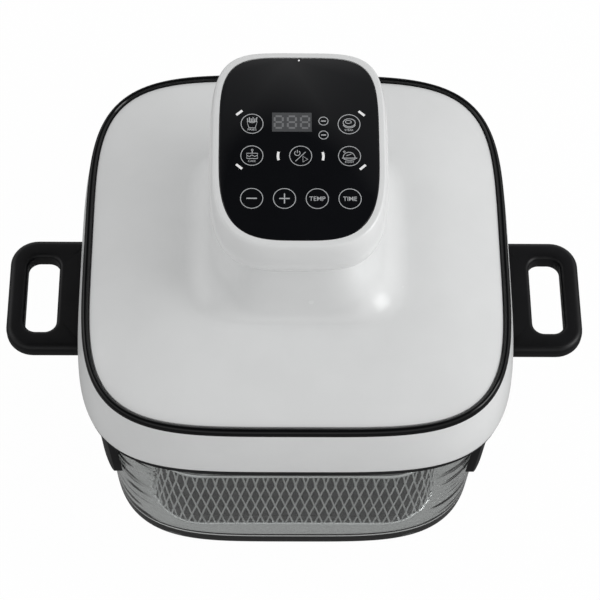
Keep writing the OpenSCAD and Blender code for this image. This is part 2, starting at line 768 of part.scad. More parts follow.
// ---- motor and fans ----

module motor_bracket() {
    plate_x = 2 * (bracket_x - 9);
    color(steel) difference() {
        union() {
            translate([-plate_x / 2, -25, bracket_top - bracket_t]) cube([plate_x, 50, bracket_t]);
            mirror_pair() {
                translate([plate_x / 2 - bracket_t, -25, shield_top]) cube([bracket_t, 50, bracket_rise + bracket_t]);
                translate([plate_x / 2 - bracket_t, -25, shield_top]) cube([16, 50, bracket_t]);
            }
        }
        translate([0, 0, bracket_top - bracket_t - cut]) rod(shaft_r + 6, bracket_t + 2 * cut);
        for (p = bracket_places) translate([p[0], p[1], shield_top - cut])
            rod(bracket_screw_r + hole_gap, bracket_t + 2 * cut);
        for (x = [-1, 1]) translate([x * motor_screw_x, 0, bracket_top - bracket_t - cut])
            rod(motor_screw_r + hole_gap, bracket_t + 2 * cut);
        translate([sensor_place[0], sensor_place[1], shield_top - cut]) rod(sensor_r + 3, 20);
    }
}

motor_screw_x = 26;
motor_screw_r = 1.5;
bush_r = 7;
bush_h = 6;

module bracket_screws() {
    color(steel) for (p = bracket_places) translate([p[0], p[1], shield_top + bracket_t])
        screw(bracket_screw_r, bracket_t + sheet_t + pad_t + sheet_t + 1.5, 2.8, 1.8);
}

module fan_motor() {
    color("#8E9196") difference() {
        translate([0, 0, bracket_top]) rod(motor_r, motor_h);
        translate([0, 0, bracket_top - cut]) {
            rod(shaft_r + 0.6, motor_h + 2 * cut);
            rod(bush_r + hole_gap, bush_h + cut);
            translate([0, 0, motor_h + cut - bush_h]) rod(bush_r + hole_gap, bush_h + cut);
            for (x = [-1, 1]) translate([x * motor_screw_x, 0, 0]) rod(motor_screw_r + hole_gap, 7 + cut);
        }
    }
}

module motor_bushes() {
    color("#B48A4A") for (z = [bracket_top, motor_top - bush_h]) translate([0, 0, z]) difference() {
        rod(bush_r, bush_h);
        translate([0, 0, -cut]) rod(shaft_r + shaft_fit, bush_h + 2 * cut);
    }
}

module motor_screws() {
    color(steel) for (x = [-1, 1]) translate([x * motor_screw_x, 0, bracket_top - bracket_t]) mirror([0, 0, 1])
        screw(motor_screw_r, bracket_t + 6, 2.8, 1.8);
}

nut_h = 4;
shaft_bottom = fan_z - nut_h - 2;
shaft_top = cool_fan_z + cool_fan_h + nut_h + 1;

module motor_shaft() {
    color(steel) translate([0, 0, shaft_bottom]) rod(shaft_r, shaft_top - shaft_bottom);
}

// A disc with upright blades round a hub
module fan(r, h, blades, disc_t, blade_t, hub_r, hub_h) {
    difference() {
        union() {
            rod(r * 0.55, disc_t);
            rod(hub_r, hub_h);
            for (k = [0:blades - 1]) rotate([0, 0, 360 * k / blades])
                translate([hub_r - 1, -blade_t / 2, disc_t / 2]) cube([r - hub_r + 1, blade_t, h - 1 - disc_t / 2]);
        }
        translate([0, 0, -cut]) rod(shaft_r, hub_h + h + 2 * cut);
    }
}

module hot_air_fan() {
    color(steel) translate([0, 0, fan_z]) fan(fan_r, fan_h, fan_blades, 1.2, 1.2, 8, fan_h);
}

module cooling_fan() {
    color("#DADADA") translate([0, 0, cool_fan_z])
        fan(cool_fan_r, cool_fan_h, cool_fan_blades, 1.5, 1.5, 8, cool_fan_h);
}

module fan_nuts() {
    color(steel) for (z = [fan_z - nut_h, cool_fan_z + cool_fan_h]) translate([0, 0, z]) difference() {
        cylinder(r = shaft_r * 2, h = nut_h, $fn = 6);
        translate([0, 0, -cut]) rod(shaft_r, nut_h + 2 * cut);
    }
}

// ---- sensors, switch and inlet ----

module temperature_sensor() {
    color(steel) translate([sensor_place[0], sensor_place[1], lamp_z]) {
        rod(sensor_r, shield_top + 8 - lamp_z);
        translate([0, 0, shield_top - lamp_z]) rod(sensor_r + 2, 3);
    }
}

module thermal_cutout() {
    color("#C9A87A") translate([-48, 52, shield_top]) {
        rod(8, 6);
        translate([-12, -4, 0]) cube([24, 8, 1]);
    }
}

module reed_switch() {
    color("#1E5C3A") translate([-8, plate_w / 2 - 9, plate_top]) cube([16, 6, 5]);
}

module mains_inlet() {
    wall = 3;
    color(black) translate([0, inlet_y, inlet_z]) difference() {
        union() {
            translate([-inlet_size[0] / 2, -inlet_size[1], -inlet_size[2] / 2]) cube(inlet_size);
            translate([-inlet_ear_x, -inlet_ear_y, -inlet_size[2] / 2])
                cube([2 * inlet_ear_x, inlet_ear_t, inlet_size[2]]);
        }
        translate([-inlet_size[0] / 2 + wall, -inlet_size[1] + 4, -inlet_size[2] / 2 + wall])
            cube([inlet_size[0] - 2 * wall, inlet_size[1], inlet_size[2] - 2 * wall]);
        for (p = pin_places) translate([p[0] - pin_size[0] / 2, -inlet_size[1] - cut, p[1] - pin_size[2] / 2])
            cube([pin_size[0], 6, pin_size[2]]);
        for (x = [-1, 1]) translate([x * inlet_screw_x, 0, 0]) rotate([90, 0, 0])
            rod(inlet_screw_r + hole_gap, inlet_size[1]);
    }
}

pin_size = [2, 20, 4];
pin_places = [[-7, -1.5], [0, 2], [7, -1.5]];

module inlet_pins() {
    color("#C8B070") translate([0, inlet_y, inlet_z]) for (p = pin_places)
        translate([p[0] - pin_size[0] / 2, -inlet_size[1] - 5, p[1] - pin_size[2] / 2]) cube(pin_size);
}

module inlet_screws() {
    color(steel) for (x = [-1, 1])
        translate([x * inlet_screw_x, inlet_y - inlet_ear_y, inlet_z]) rotate([90, 0, 0])
            screw(inlet_screw_r, inlet_ear_t + 4, 2.2, 1.5);
}

// ---- control pod ----

module on_panel() {
    translate([0, 0, panel_z]) rotate([panel_tilt, 0, 0]) children();
}

function pod_ring(w, d, z) =
    let (t = (z - seam_z) / pod_h)
    ring(w, d, mix(3.5, pod_front_n, t), z, panel_tilt * max(0, t), 0, mix(3.5, pod_back_n, t));

// Wall of the pod from the seam (t = 0) to its widest level (t = 1)
function flare_ring(t, in) =
    pod_ring(mix(seam_w, belly_w, sin(90 * t)) - 2 * in, mix(seam_d, belly_d, sin(90 * t)) - 2 * in,
        mix(seam_z, belly_z, t));

// Rounded shoulder from the widest level (t = 0) to the lip (t = 1)
function shoulder_ring(t) =
    pod_ring(mix(panel_w + 2 * (panel_gap + lip_w), belly_w, cos(90 * t)),
        mix(panel_d + 2 * (panel_gap + lip_w), belly_d, cos(90 * t)),
        mix(belly_z, panel_z + 0.3, sin(90 * t)));

// The seat of the touch panel, drawn in from the panel's edge by an inset
function seat_ring(inset, z) =
    ring(panel_w + 2 * (panel_gap - inset), panel_d + 2 * (panel_gap - inset), pod_front_n, z, panel_tilt, 0,
        pod_back_n);

module pod_shell() {
    spigot_w = seam_w - 2 * lid_wall - 2 * spigot_gap;
    spigot_d = seam_d - 2 * lid_wall - 2 * spigot_gap;
    bore_w = spigot_w - 2 * pod_wall;
    bore_d = spigot_d - 2 * pod_wall;
    color(white) difference() {
        loft(concat(
            [
                ring(bore_w, bore_d, 3.5, seam_z - spigot_h),
                ring(spigot_w, spigot_d, 3.5, seam_z - spigot_h),
                ring(spigot_w, spigot_d, 3.5, seam_z)
            ],
            [for (t = [0:0.25:1]) flare_ring(t, 0)],
            [for (t = [0.3:0.233:1]) shoulder_ring(t)],
            [
                seat_ring(0, panel_z + 0.3),
                seat_ring(0, panel_z - panel_t),
                seat_ring(ledge_w, panel_z - panel_t),
                seat_ring(ledge_w, panel_z - panel_t - 2.5),
                flare_ring(0.96, pod_wall),
                flare_ring(0.7, pod_wall),
                flare_ring(0.4, pod_wall),
                ring(chassis_w + 0.6, chassis_d + 0.6, 3.5, step_z),
                ring(bore_w, bore_d, 3.5, step_z)
            ]
        ), looped = true);
        for (k = [-3:3]) translate([k * 9 - 1.5, 40, seam_z + 16]) cube([3, 60, 18]);
    }
}

module control_chassis() {
    color("#3A3A3D") translate([0, 0, chassis_z]) difference() {
        union() {
            linear_extrude(chassis_t) polygon(plan_points(chassis_w, chassis_d, 3.5));
            for (x = [-32, 32], y = [-38, 38]) translate([x, y, 0]) rod(3.5, power_board_z - chassis_z);
        }
        translate([0, 0, -cut]) {
            rod(26, chassis_t + 2 * cut);
            for (x = [-32, 32], y = [-38, 38]) translate([x, y, 0]) rod(1.5, 20);
        }
    }
}

module power_board() {
    color("#1F6B45") translate([0, 0, power_board_z]) difference() {
        translate([-38, -44, 0]) cube([76, 88, board_t]);
        for (x = [-32, 32], y = [-38, 38]) translate([x, y, -cut]) rod(1.5, board_t + 2 * cut);
    }
}

module power_components() {
    color("#D9A441") translate([0, 0, power_board_z + board_t]) {
        translate([-30, -28, 0]) cube([28, 22, 18]);
        translate([6, -30, 0]) cube([19, 15, 15]);
        translate([6, -8, 0]) cube([19, 15, 15]);
        translate([-20, 12, 0]) rod(6, 16);
        translate([-2, 16, 0]) rod(5, 14);
        translate([14, 20, 0]) cube([14, 8, 10]);
    }
}

module buzzer() {
    color(black) translate([-26, 27, power_board_z + board_t]) rod(6, 7);
}

light_frame_w = 88;
light_frame_d = 112;
light_frame_r = 22;

module light_frame() {
    color(black) on_panel() translate([0, 0, -panel_t - light_frame_t]) difference() {
        linear_extrude(light_frame_t) rounded_rect(light_frame_w, light_frame_d, light_frame_r);
        for (p = key_places) translate([p[0], p[1], -cut]) rod(key_hole_r, light_frame_t + 2 * cut);
        for (p = led_places) translate([p[0], p[1], -cut]) rod(led_r + 0.3, light_frame_t + 2 * cut);
        translate([display_place[0] - display_size[0] / 2 - 0.2, display_place[1] - display_size[1] / 2 - 0.2, -cut])
            cube([display_size[0] + 0.4, display_size[1] + 0.4, light_frame_t + 2 * cut]);
        for (p = board_screw_places) translate([p[0], p[1], -cut]) rod(1.2 + hole_gap, 6 + cut);
    }
}

module touch_panel() {
    slope = panel_tilt;
    color("#0D0E10") loft([
        ring(panel_w, panel_d, pod_front_n, panel_z - panel_t, slope, 0, pod_back_n),
        ring(panel_w, panel_d, pod_front_n, panel_z - 0.5, slope, 0, pod_back_n),
        ring(panel_w - 1, panel_d - 1, pod_front_n, panel_z, slope, 0, pod_back_n)
    ]);
}

module display_module() {
    color("#3A3B3D") on_panel()
        translate([display_place[0], display_place[1], -panel_t - light_frame_t + display_size[2] / 2])
            cube(display_size, center = true);
}

module indicator_leds() {
    color("#D8D8D8") on_panel() for (p = led_places)
        translate([p[0], p[1], -panel_t - light_frame_t]) rod(led_r, 5);
}

module touch_board() {
    color("#1F6B45") on_panel() translate([0, 0, -panel_t - light_frame_t - board_t]) difference() {
        linear_extrude(board_t) rounded_rect(light_frame_w - 2, light_frame_d - 2, light_frame_r - 1);
        for (p = board_screw_places) translate([p[0], p[1], -cut]) rod(1.2 + hole_gap, board_t + 2 * cut);
    }
}

module touch_springs() {
    color(steel) on_panel() for (p = key_places) translate([p[0], p[1], -panel_t - light_frame_t]) difference() {
        rod(5, light_frame_t);
        translate([0, 0, 1]) rod(4.2, light_frame_t - 2);
    }
}

module board_screws() {
    color(steel) on_panel() for (p = board_screw_places)
        translate([p[0], p[1], -panel_t - light_frame_t - board_t]) mirror([0, 0, 1])
            screw(1.2, board_t + 5, 2.4, 1.4);
}

glass_bowl();
bowl_carrier();
carrier_gasket();
handle_left();
handle_right();
handle_screws();
lid_magnet();
basket_mesh();
basket_rim();
basket_feet();
crisper_tray();
lid_side_band();
lid_trim_ring();
lid_top_shell();
lid_base_plate();
lid_seal();
lid_screws();
reflector_pan();
insulation_pad();
heat_shield();
halogen_lamp();
lamp_end_caps();
lamp_clips();
fan_guard();
guard_screws();
motor_bracket();
bracket_screws();
fan_motor();
motor_bushes();
motor_screws();
motor_shaft();
hot_air_fan();
cooling_fan();
fan_nuts();
temperature_sensor();
thermal_cutout();
reed_switch();
mains_inlet();
inlet_pins();
inlet_screws();
pod_shell();
control_chassis();
power_board();
power_components();
buzzer();
light_frame();
touch_panel();
display_module();
indicator_leds();
touch_board();
touch_springs();
board_screws();
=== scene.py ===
import math

import bmesh
import bpy
from mathutils import Matrix, Vector


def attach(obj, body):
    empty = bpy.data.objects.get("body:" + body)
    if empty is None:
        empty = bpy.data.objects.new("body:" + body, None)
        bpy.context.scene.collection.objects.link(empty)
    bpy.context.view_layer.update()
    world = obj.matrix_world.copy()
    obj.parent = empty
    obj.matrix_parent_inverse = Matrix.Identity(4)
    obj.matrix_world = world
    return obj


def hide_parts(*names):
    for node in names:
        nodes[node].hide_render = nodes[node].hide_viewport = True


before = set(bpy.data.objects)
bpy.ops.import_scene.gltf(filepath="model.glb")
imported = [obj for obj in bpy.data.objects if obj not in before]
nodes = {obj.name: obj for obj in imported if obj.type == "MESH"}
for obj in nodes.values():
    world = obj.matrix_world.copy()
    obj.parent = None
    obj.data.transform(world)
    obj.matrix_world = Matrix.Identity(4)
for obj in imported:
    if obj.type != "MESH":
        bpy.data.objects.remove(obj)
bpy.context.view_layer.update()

# The looks of a square glass-bowl halogen oven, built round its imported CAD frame.
# Sizes are written in millimetres and turned to metres where a mesh is made. +Z up, front towards -Y.

MM = 0.001
SIDES = 288  # points round a rounded-square outline

# Sizes. _W and _D are widths and depths, _N the squareness of an outline, _R radii, _T thicknesses,
# and _Z, _TOP and _BOTTOM heights above the floor
BASE_W, BOWL_TOP_W, BOWL_N, GLASS_WALL, GLASS_BASE, EDGE_R = 288, 302, 4.1, 4.5, 9, 8
FLANGE_W, RING_TOP, BOWL_RIM = 310, 163.7, 172
HANDLE_REACH, HANDLE_W, HANDLE_TOP, HANDLE_T, BOSS_X = 218.7, 97, 144, 14.5, 161.5
SLOT_X, SLOT_W, SLOT_L, SLOT_R, HANDLE_R = 180.6, 24.4, 66, 9, 21
CARRIER_W, RING_BOTTOM, CARRIER_GAP, SKIRT_T = 322, 157, 0.8, 4.2
SKIRT_BOTTOM, SKIRT_REACH, SKIRT_CORNER, BOSS_DEPTH = 73, 119, 9, 8.5
BASKET_W, BASKET_D, BASKET_R, MESH_BOTTOM, BASKET_TOP, WIRE_R = 229, 262, 45, 15, 102, 1.9
BAND_W, BAND_TOP_W, BAND_N, BAND_BOTTOM, BAND_TOP, BAND_WALL = 323, 312.6, 4.2, 164, 209.4, 2.6
LID_W, LID_N, LID_EDGE, DOME_RISE, LID_WALL = 300, 4.5, 212.8, 14, 2.2
TRIM_GAP, TRIM_FOOT, TRIM_RISE = 0.4, 1, 4.2
FOOT_W, FOOT_D, FOOT_N, FOOT_Z, PEDESTAL_H = 170, 154, 5, 226.8, 54.2
SEAM_W, SEAM_D, SEAM_N, SEAM_Z, SPIGOT_GAP = 97, 126, 4, 281, 0.3
BELLY_W, BELLY_D, BELLY_Z, PANEL_Z, POD_H = 124.5, 155, 317.96, 337, 56
PANEL_W, PANEL_D, PANEL_T, PANEL_TILT, PANEL_BACK = 110, 142, 3, 6, 1.5
FRONT_N, BACK_N, LIP, LIP_RISE, PANEL_GAP, POD_WALL = 3.4, 4.5, 3, 0.3, 0.3, 2.5
INLET_Z, INLET_W, INLET_H = 193, 27.6, 19.6
# Touch keys, pilot signs and display, each by its middle on the panel
KEYS = [(-33.45, -38), (-11.15, -38), (11.15, -38), (33.45, -38), (-33.5, -5), (0, -5), (33.5, -5),
        (-33.5, 20), (33.5, 20)]
PILOTS, DISPLAY = [(15.8, 22.4), (15.8, 11.4)], (-6.0, 21.4)
KEY_R, PRINT_X = 7.6, 1.08  # the print sits a little to the right of the panel's middle


def new_object(name, data):
    made = bpy.data.objects.new(name, data)
    bpy.context.scene.collection.objects.link(made)
    return made


# ---- camera: the photograph's viewing angle ----

def make_camera():
    yaw, pitch, roll = math.radians(1.966), math.radians(59.193), math.radians(1.928)
    eye = Vector((-24.95, -845.90, 1554.43)) * MM
    forward = Vector((math.sin(yaw) * math.cos(pitch), math.cos(yaw) * math.cos(pitch), -math.sin(pitch)))
    level = Vector((math.cos(yaw), -math.sin(yaw), 0))
    upward = level.cross(forward)
    right = math.cos(roll) * level + math.sin(roll) * upward
    top = -math.sin(roll) * level + math.cos(roll) * upward
    data = bpy.data.cameras.new("camera")
    data.lens, data.sensor_width, data.clip_end = 129.2, 36.0, 20
    camera = new_object("camera", data)
    camera.matrix_world = Matrix.Translation(eye) @ Matrix((right, top, -forward)).transposed().to_4x4()
    bpy.context.scene.camera = camera


# ---- materials ----

def linear(hex_code):
    """An sRGB hex colour as linear RGBA."""
    parts = [int(hex_code[i:i + 2], 16) / 255 for i in (1, 3, 5)]
    return tuple(p / 12.92 if p <= 0.04045 else ((p + 0.055) / 1.055) ** 2.4 for p in parts) + (1,)


def add(tree, kind, settings=(), links=()):
    """Adds a node. Settings go to inputs by name or number, or to the node's own properties."""
    made = tree.nodes.new(kind)
    for key, value in dict(settings).items():
        if isinstance(key, int) or key in made.inputs:
            made.inputs[key].default_value = value
        else:
            setattr(made, key, value)
    for key, source in dict(links).items():
        tree.links.new(source, made.inputs[key])
    return made


def new_material(name):
    material = bpy.data.materials.new(name)
    material.use_nodes = True
    material.node_tree.nodes.clear()
    return material, material.node_tree


def finish_material(tree, shader):
    add(tree, "ShaderNodeOutputMaterial", {}, {"Surface": shader.outputs[0]})


def noise(tree, coords, size_mm, detail):
    """A noise with marks of one size."""
    made = add(tree, "ShaderNodeTexNoise", {"Scale": 1 / (size_mm * MM), "Detail": detail},
               {"Vector": coords})
    return made.outputs["Fac"]


def stretched_noise(tree, coords, sizes_mm, settings):
    """A noise whose marks have a size of their own along x, y and z."""
    scaled = add(tree, "ShaderNodeMapping", {"Scale": [1 / (size * MM) for size in sizes_mm]},
                 {"Vector": coords})
    made = add(tree, "ShaderNodeTexNoise", {"Scale": 1.0, **settings}, {"Vector": scaled.outputs[0]})
    return made.outputs["Fac"]


def mottled(tree, coords, size_mm, dark, light):
    """A colour that wanders between two shades."""
    ramp = add(tree, "ShaderNodeValToRGB", {}, {"Fac": noise(tree, coords, size_mm, 3.0)})
    for stop, place, shade in zip(ramp.color_ramp.elements, (0.35, 0.65), (dark, light)):
        stop.position = place
        stop.color = linear(shade)
    return ramp.outputs["Color"]


def spread(tree, source, low, high):
    """A 0 to 1 value as a value from low to high."""
    made = add(tree, "ShaderNodeMapRange", {"To Min": low, "To Max": high}, {"Value": source})
    return made.outputs["Result"]


def relief(tree, height, depth_mm, below=None):
    """A surface raised by a 0 to 1 height, on top of the relief below if there is one."""
    links = {"Height": height}
    if below is not None:
        links["Normal"] = below
    made = add(tree, "ShaderNodeBump", {"Strength": 1.0, "Distance": depth_mm * MM}, links)
    return made.outputs["Normal"]


def moulded(name, dark, light, roughness, ior, grain_mm, grain_depth, wave_mm=0, wave_depth=0, spec=0.5):
    """Moulded or coated stuff: the tool's grain, slow sink waves and a colour that hardly wanders."""
    material, tree = new_material(name)
    coords = add(tree, "ShaderNodeTexCoord").outputs["Object"]
    surface = relief(tree, noise(tree, coords, grain_mm, 2.0), grain_depth)
    if wave_mm:
        surface = relief(tree, noise(tree, coords, wave_mm, 1.0), wave_depth, surface)
    smudge = noise(tree, coords, 18, 1.0)
    shader = add(tree, "ShaderNodeBsdfPrincipled", {"IOR": ior, "Specular IOR Level": spec}, {
        "Base Color": mottled(tree, coords, 30, dark, light),
        "Roughness": spread(tree, smudge, roughness * 0.92, roughness * 1.08),
        "Normal": surface})
    finish_material(tree, shader)
    return material


def metal(name, dark, light, roughness, grain, depth, anisotropy=0.0):
    """Bare metal. grain is the size of its marks in mm along x, y and z: long marks read as brushing."""
    material, tree = new_material(name)
    coords = add(tree, "ShaderNodeTexCoord").outputs["Object"]
    marks = stretched_noise(tree, coords, grain, {"Detail": 4.0})
    shader = add(tree, "ShaderNodeBsdfPrincipled", {"Metallic": 1.0, "Anisotropic": anisotropy}, {
        "Base Color": mottled(tree, coords, 6, dark, light),
        "Roughness": spread(tree, marks, roughness * 0.7, roughness * 1.3),
        "Normal": relief(tree, marks, depth)})
    finish_material(tree, shader)
    return material


def finish_glass(tree, tint, roughness, ior, surface):
    shader = add(tree, "ShaderNodeBsdfPrincipled", {
        "Base Color": linear(tint), "Roughness": roughness, "IOR": ior, "Transmission Weight": 1.0},
        {"Normal": surface})
    finish_material(tree, shader)


def pressed_glass():
    """Pressed soda-lime glass of the bowl: grey, partly as painted shade, with even walls and streaks swept
    round the corners.
    """
    material, tree = new_material("pressed_soda_lime_glass")
    coords = add(tree, "ShaderNodeTexCoord").outputs["Object"]
    # Streaks about 9 mm apart up the wall and 90 mm long round it
    streak = stretched_noise(tree, coords, (90, 90, 9), {"Detail": 0.3, "Distortion": 0.2})
    # The mould drew the glass at the corners, where both x and y are far out
    axes = add(tree, "ShaderNodeSeparateXYZ", {}, {"Vector": coords})
    away = [add(tree, "ShaderNodeMath", {"operation": "ABSOLUTE"}, {0: axes.outputs[k]}) for k in (0, 1)]
    corner = add(tree, "ShaderNodeMath", {"operation": "MINIMUM"}, {k: away[k].outputs[0] for k in (0, 1)})
    swept = add(tree, "ShaderNodeMapRange", {
        "From Min": 100 * MM, "From Max": 124 * MM, "To Min": 0.06, "To Max": 1.0},
        {"Value": corner.outputs[0]})
    surface = add(tree, "ShaderNodeBump", {"Distance": 0.7 * MM},
                  {"Height": streak, "Strength": swept.outputs[0]})
    # The grey tint is partly painted shade that darkens the covered bowl's inside as seen through the walls
    finish_glass(tree, "#DDDFDE", 0.02, 1.52, surface.outputs["Normal"])
    return material


def lamp_quartz():
    """Fused quartz tube of the lamp: clear with a warm tint."""
    material, tree = new_material("fused_quartz_tube")
    coords = add(tree, "ShaderNodeTexCoord").outputs["Object"]
    finish_glass(tree, "#F2E9D8", 0.06, 1.46, relief(tree, noise(tree, coords, 9, 1.0), 0.05))
    return material


def make_materials():
    made = {"bowl_glass": pressed_glass(), "quartz": lamp_quartz()}
    # Glossy white ABS from a polished tool: even white, soft highlights, very slow waves
    made["white_abs"] = moulded("gloss_white_abs", "#E2E3E3", "#E4E5E5", 0.26, 1.53, 0.8, 0.0004, 60, 0.01)
    # Piano-black ABS of the trim bead: near black with mirror-like streaks
    made["piano_abs"] = moulded("piano_black_abs", "#070809", "#0A0B0C", 0.09, 1.53, 0.8, 0.0002, spec=0.3)
    # Spark-textured glass-filled nylon of handles and carrier: dark and dull, its grain drawn large to show
    made["nylon"] = moulded("spark_textured_black_nylon", "#0B0B0D", "#0F0F12", 0.42, 1.53, 0.7, 0.012,
                            spec=0.3)
    # Satin black ABS of the inlet and inner frames
    made["black_abs"] = moulded("satin_black_abs", "#1B1B1D", "#202023", 0.35, 1.53, 0.8, 0.004)
    # Charcoal heat-resistant phenolic of the base plate: matt with pressing marks
    made["phenolic"] = moulded("moulded_phenolic", "#262628", "#2E2E30", 0.5, 1.6, 1.2, 0.01)
    # Translucent silicone rubber of seals and feet: soft grey-white, waxy
    made["silicone"] = moulded("moulded_silicone_rubber", "#BFC3C6", "#CBCFD2", 0.5, 1.41, 1.0, 0.006)
    # Back-painted toughened glass of the touch panel: black under a polished face
    made["panel_glass"] = moulded("back_painted_touch_glass", "#0C0D10", "#0E0F12", 0.05, 1.52, 2.0, 0.0001)
    # Screen-printed white ink of the key signs, a little grey from the glass over it
    made["ink"] = moulded("screen_print_white_ink", "#B4B6B8", "#BEC0C2", 0.3, 1.5, 0.5, 0.001)
    # The same ink printed twice, for the bars: a denser white
    made["bright_ink"] = moulded("double_printed_white_ink", "#F6F6F6", "#FCFCFC", 0.3, 1.5, 0.5, 0.001)
    # Smoked acrylic filter of the display: an even dark grey
    made["display"] = moulded("smoked_display_filter", "#4C4D4F", "#515254", 0.25, 1.5, 0.5, 0.001)
    # Light guides of the display and pilot lamps, unlit: a paler grey
    made["segment"] = moulded("unlit_display_segments", "#727375", "#7A7B7D", 0.3, 1.5, 0.5, 0.001)
    # Black PTFE coating on the steel tray: low sheen, fine pits, its black pushed darker as painted shade
    # for the covered bowl's inside
    made["ptfe"] = moulded("sprayed_ptfe_coating", "#08090A", "#0C0D0E", 0.38, 1.38, 1.1, 0.02)
    # Fired steatite of the lamp's caps and the cut-out: cream and dull
    made["ceramic"] = moulded("fired_steatite_ceramic", "#DFDACD", "#EAE6DB", 0.45, 1.6, 0.6, 0.01)
    # Needled glass-fibre felt of the insulation: loose and matt
    made["fibre"] = moulded("needled_glass_fibre_felt", "#CFC9BA", "#DED8CA", 0.9, 1.4, 1.5, 0.25)
    # Green solder mask on glass-epoxy board
    made["board"] = moulded("fr4_solder_mask", "#17573A", "#1E6B46", 0.3, 1.5, 2.5, 0.01)
    # Amber epoxy of the power board's film capacitors
    made["component"] = moulded("film_capacitor_epoxy", "#C28D34", "#D59E42", 0.35, 1.5, 1.5, 0.01)
    # Pale PPS of the cooling fan: hard, with a dull sheen
    made["pps"] = moulded("cooling_fan_pps", "#D0D0CE", "#DADAD8", 0.4, 1.5, 1.0, 0.006)
    # Drawn stainless steel, electropolished: bright with faint drawing lines along z
    made["stainless"] = metal("electropolished_stainless", "#C4C6C8", "#D8DADC", 0.22, (0.6, 0.6, 3.0),
                              0.004)
    # Tin-plated expanded steel of the basket: satin, without a clear mirror image, its pale colour pushed to
    # white as painted light for lamp light the glass holds back
    made["tinned_mesh"] = metal("tin_plated_expanded_steel", "#F8F9FA", "#FFFFFF", 0.35, (0.8, 0.8, 0.8),
                                0.004)
    # Chrome-plated wire of the fan guard: bright and smooth
    made["chrome_wire"] = metal("chrome_plated_wire", "#CDD0D3", "#DDE0E2", 0.12, (1.0, 1.0, 1.0), 0.002)
    # Aluminised sheet of pan, shield and fan: bright, with short rolling marks along x
    made["aluminised"] = metal("aluminised_sheet_steel", "#BFC1C2", "#D2D4D5", 0.25, (14, 0.8, 0.8), 0.006,
                               anisotropy=0.4)
    # Zinc-plated steel of screws, clips and bracket: grey, faintly cloudy
    made["zinc"] = metal("zinc_plated_steel", "#A9ADB2", "#BFC3C7", 0.3, (1.2, 1.2, 1.2), 0.006)
    # Sintered bronze of the motor's bushes: warm, with open pores
    made["bronze"] = metal("sintered_bronze", "#A67B3F", "#BE9150", 0.4, (0.6, 0.6, 0.6), 0.02)
    # Rolled brass of the inlet's pins, rolled along y
    made["brass"] = metal("rolled_brass", "#B79B58", "#D0B470", 0.25, (0.6, 6, 0.6), 0.004)
    # Stacked steel laminations of the motor: the sheets' edges show as fine level lines
    made["laminations"] = metal("stacked_motor_laminations", "#74777B", "#8E9196", 0.4, (20, 20, 0.9), 0.08)
    return made


# ---- outlines and lofts ----

def mix(a, b, t):
    return a + (b - a) * t


def cosd(a):
    return math.cos(math.radians(a))


def sind(a):
    return math.sin(math.radians(a))


def square_ring(w, d, n, z, slope=0.0, back_n=None, shift=0.0):
    """One level of a loft: a rounded square of squareness n, on a plane that slopes up to the back."""
    points = []
    for i in range(SIDES):
        a = 2 * math.pi * i / SIDES
        power = back_n if back_n and math.sin(a) > 0 else n
        reach = (abs(math.cos(a)) ** power + abs(math.sin(a)) ** power) ** (-1 / power)
        y = d / 2 * reach * math.sin(a) + shift
        points.append((w / 2 * reach * math.cos(a), y, z + y * math.tan(math.radians(slope))))
    return points


def rect_ring(x0, x1, y0, y1, radii, z, steps=10):
    """One level of a loft: a rectangle with its own radius at each corner, from +x+y round to +x-y."""
    corners = [(x1, y1, -1, -1, 0), (x0, y1, 1, -1, 90), (x0, y0, 1, 1, 180), (x1, y0, -1, 1, 270)]
    points = []
    for (x, y, sx, sy, start), r in zip(corners, radii):
        for k in range(steps + 1):
            a = start + 90 * k / steps
            points.append((x + sx * r + r * cosd(a), y + sy * r + r * sind(a), z))
    return points


def new_piece(name, points, faces, material, smooth=35):
    """A piece from points in mm. Faces meet softly up to the smooth angle."""
    mesh = bpy.data.meshes.new(name)
    mesh.from_pydata([Vector(p) * MM for p in points], [], faces)
    mesh.validate()
    mesh.shade_smooth()
    mesh.set_sharp_from_angle(angle=math.radians(smooth))
    mesh.materials.append(material)
    return new_object(name, mesh)


def loft(name, rings, material, looped=False):
    """Joins rings that follow each other upwards on the outside. A looped loft closes on its first ring."""
    sides, count = len(rings[0]), len(rings)
    points = [p for r in rings for p in r]
    faces = []
    for j in range(count if looped else count - 1):
        for i in range(sides):
            k = (i + 1) % sides
            above = (j + 1) % count * sides
            faces.append((j * sides + i, j * sides + k, above + k, above + i))
    if not looped:
        faces.append(tuple(reversed(range(sides))))
        faces.append(tuple(range((count - 1) * sides, count * sides)))
    return new_piece(name, points, faces, material)


def final_mesh(thing):
    """The plain mesh that an object's modifiers or text settings give."""
    bpy.context.view_layer.update()
    return bpy.data.meshes.new_from_object(thing.evaluated_get(bpy.context.evaluated_depsgraph_get()))


def settle(piece, smooth=35):
    """Turns a piece's modifiers into plain mesh."""
    shaped = final_mesh(piece)
    piece.modifiers.clear()
    piece.data = shaped
    shaped.shade_smooth()
    shaped.set_sharp_from_angle(angle=math.radians(smooth))


def cut_out(piece, boxes):
    """Cuts boxes, given as their lowest and highest corners in mm, out of a piece."""
    mesh = bpy.data.meshes.new("cutter")
    work = bmesh.new()
    for low, high in boxes:
        size = [b - a for a, b in zip(low, high)]
        centre = [(a + b) / 2 for a, b in zip(low, high)]
        place = Matrix.Translation(Vector(centre) * MM) @ Matrix.Diagonal((*[s * MM for s in size], 1))
        bmesh.ops.create_cube(work, size=1, matrix=place)
    work.to_mesh(mesh)
    work.free()
    cutter = new_object("cutter", mesh)
    change = piece.modifiers.new("cut", "BOOLEAN")
    change.operation, change.object, change.solver = "DIFFERENCE", cutter, "EXACT"
    settle(piece)
    bpy.data.objects.remove(cutter)


def ease_edges(piece, width):
    """Rounds a piece's sharp edges."""
    bevel = piece.modifiers.new("edge", "BEVEL")
    bevel.width, bevel.segments = width * MM, 2
    bevel.limit_method, bevel.angle_limit = "ANGLE", math.radians(40)
    settle(piece)


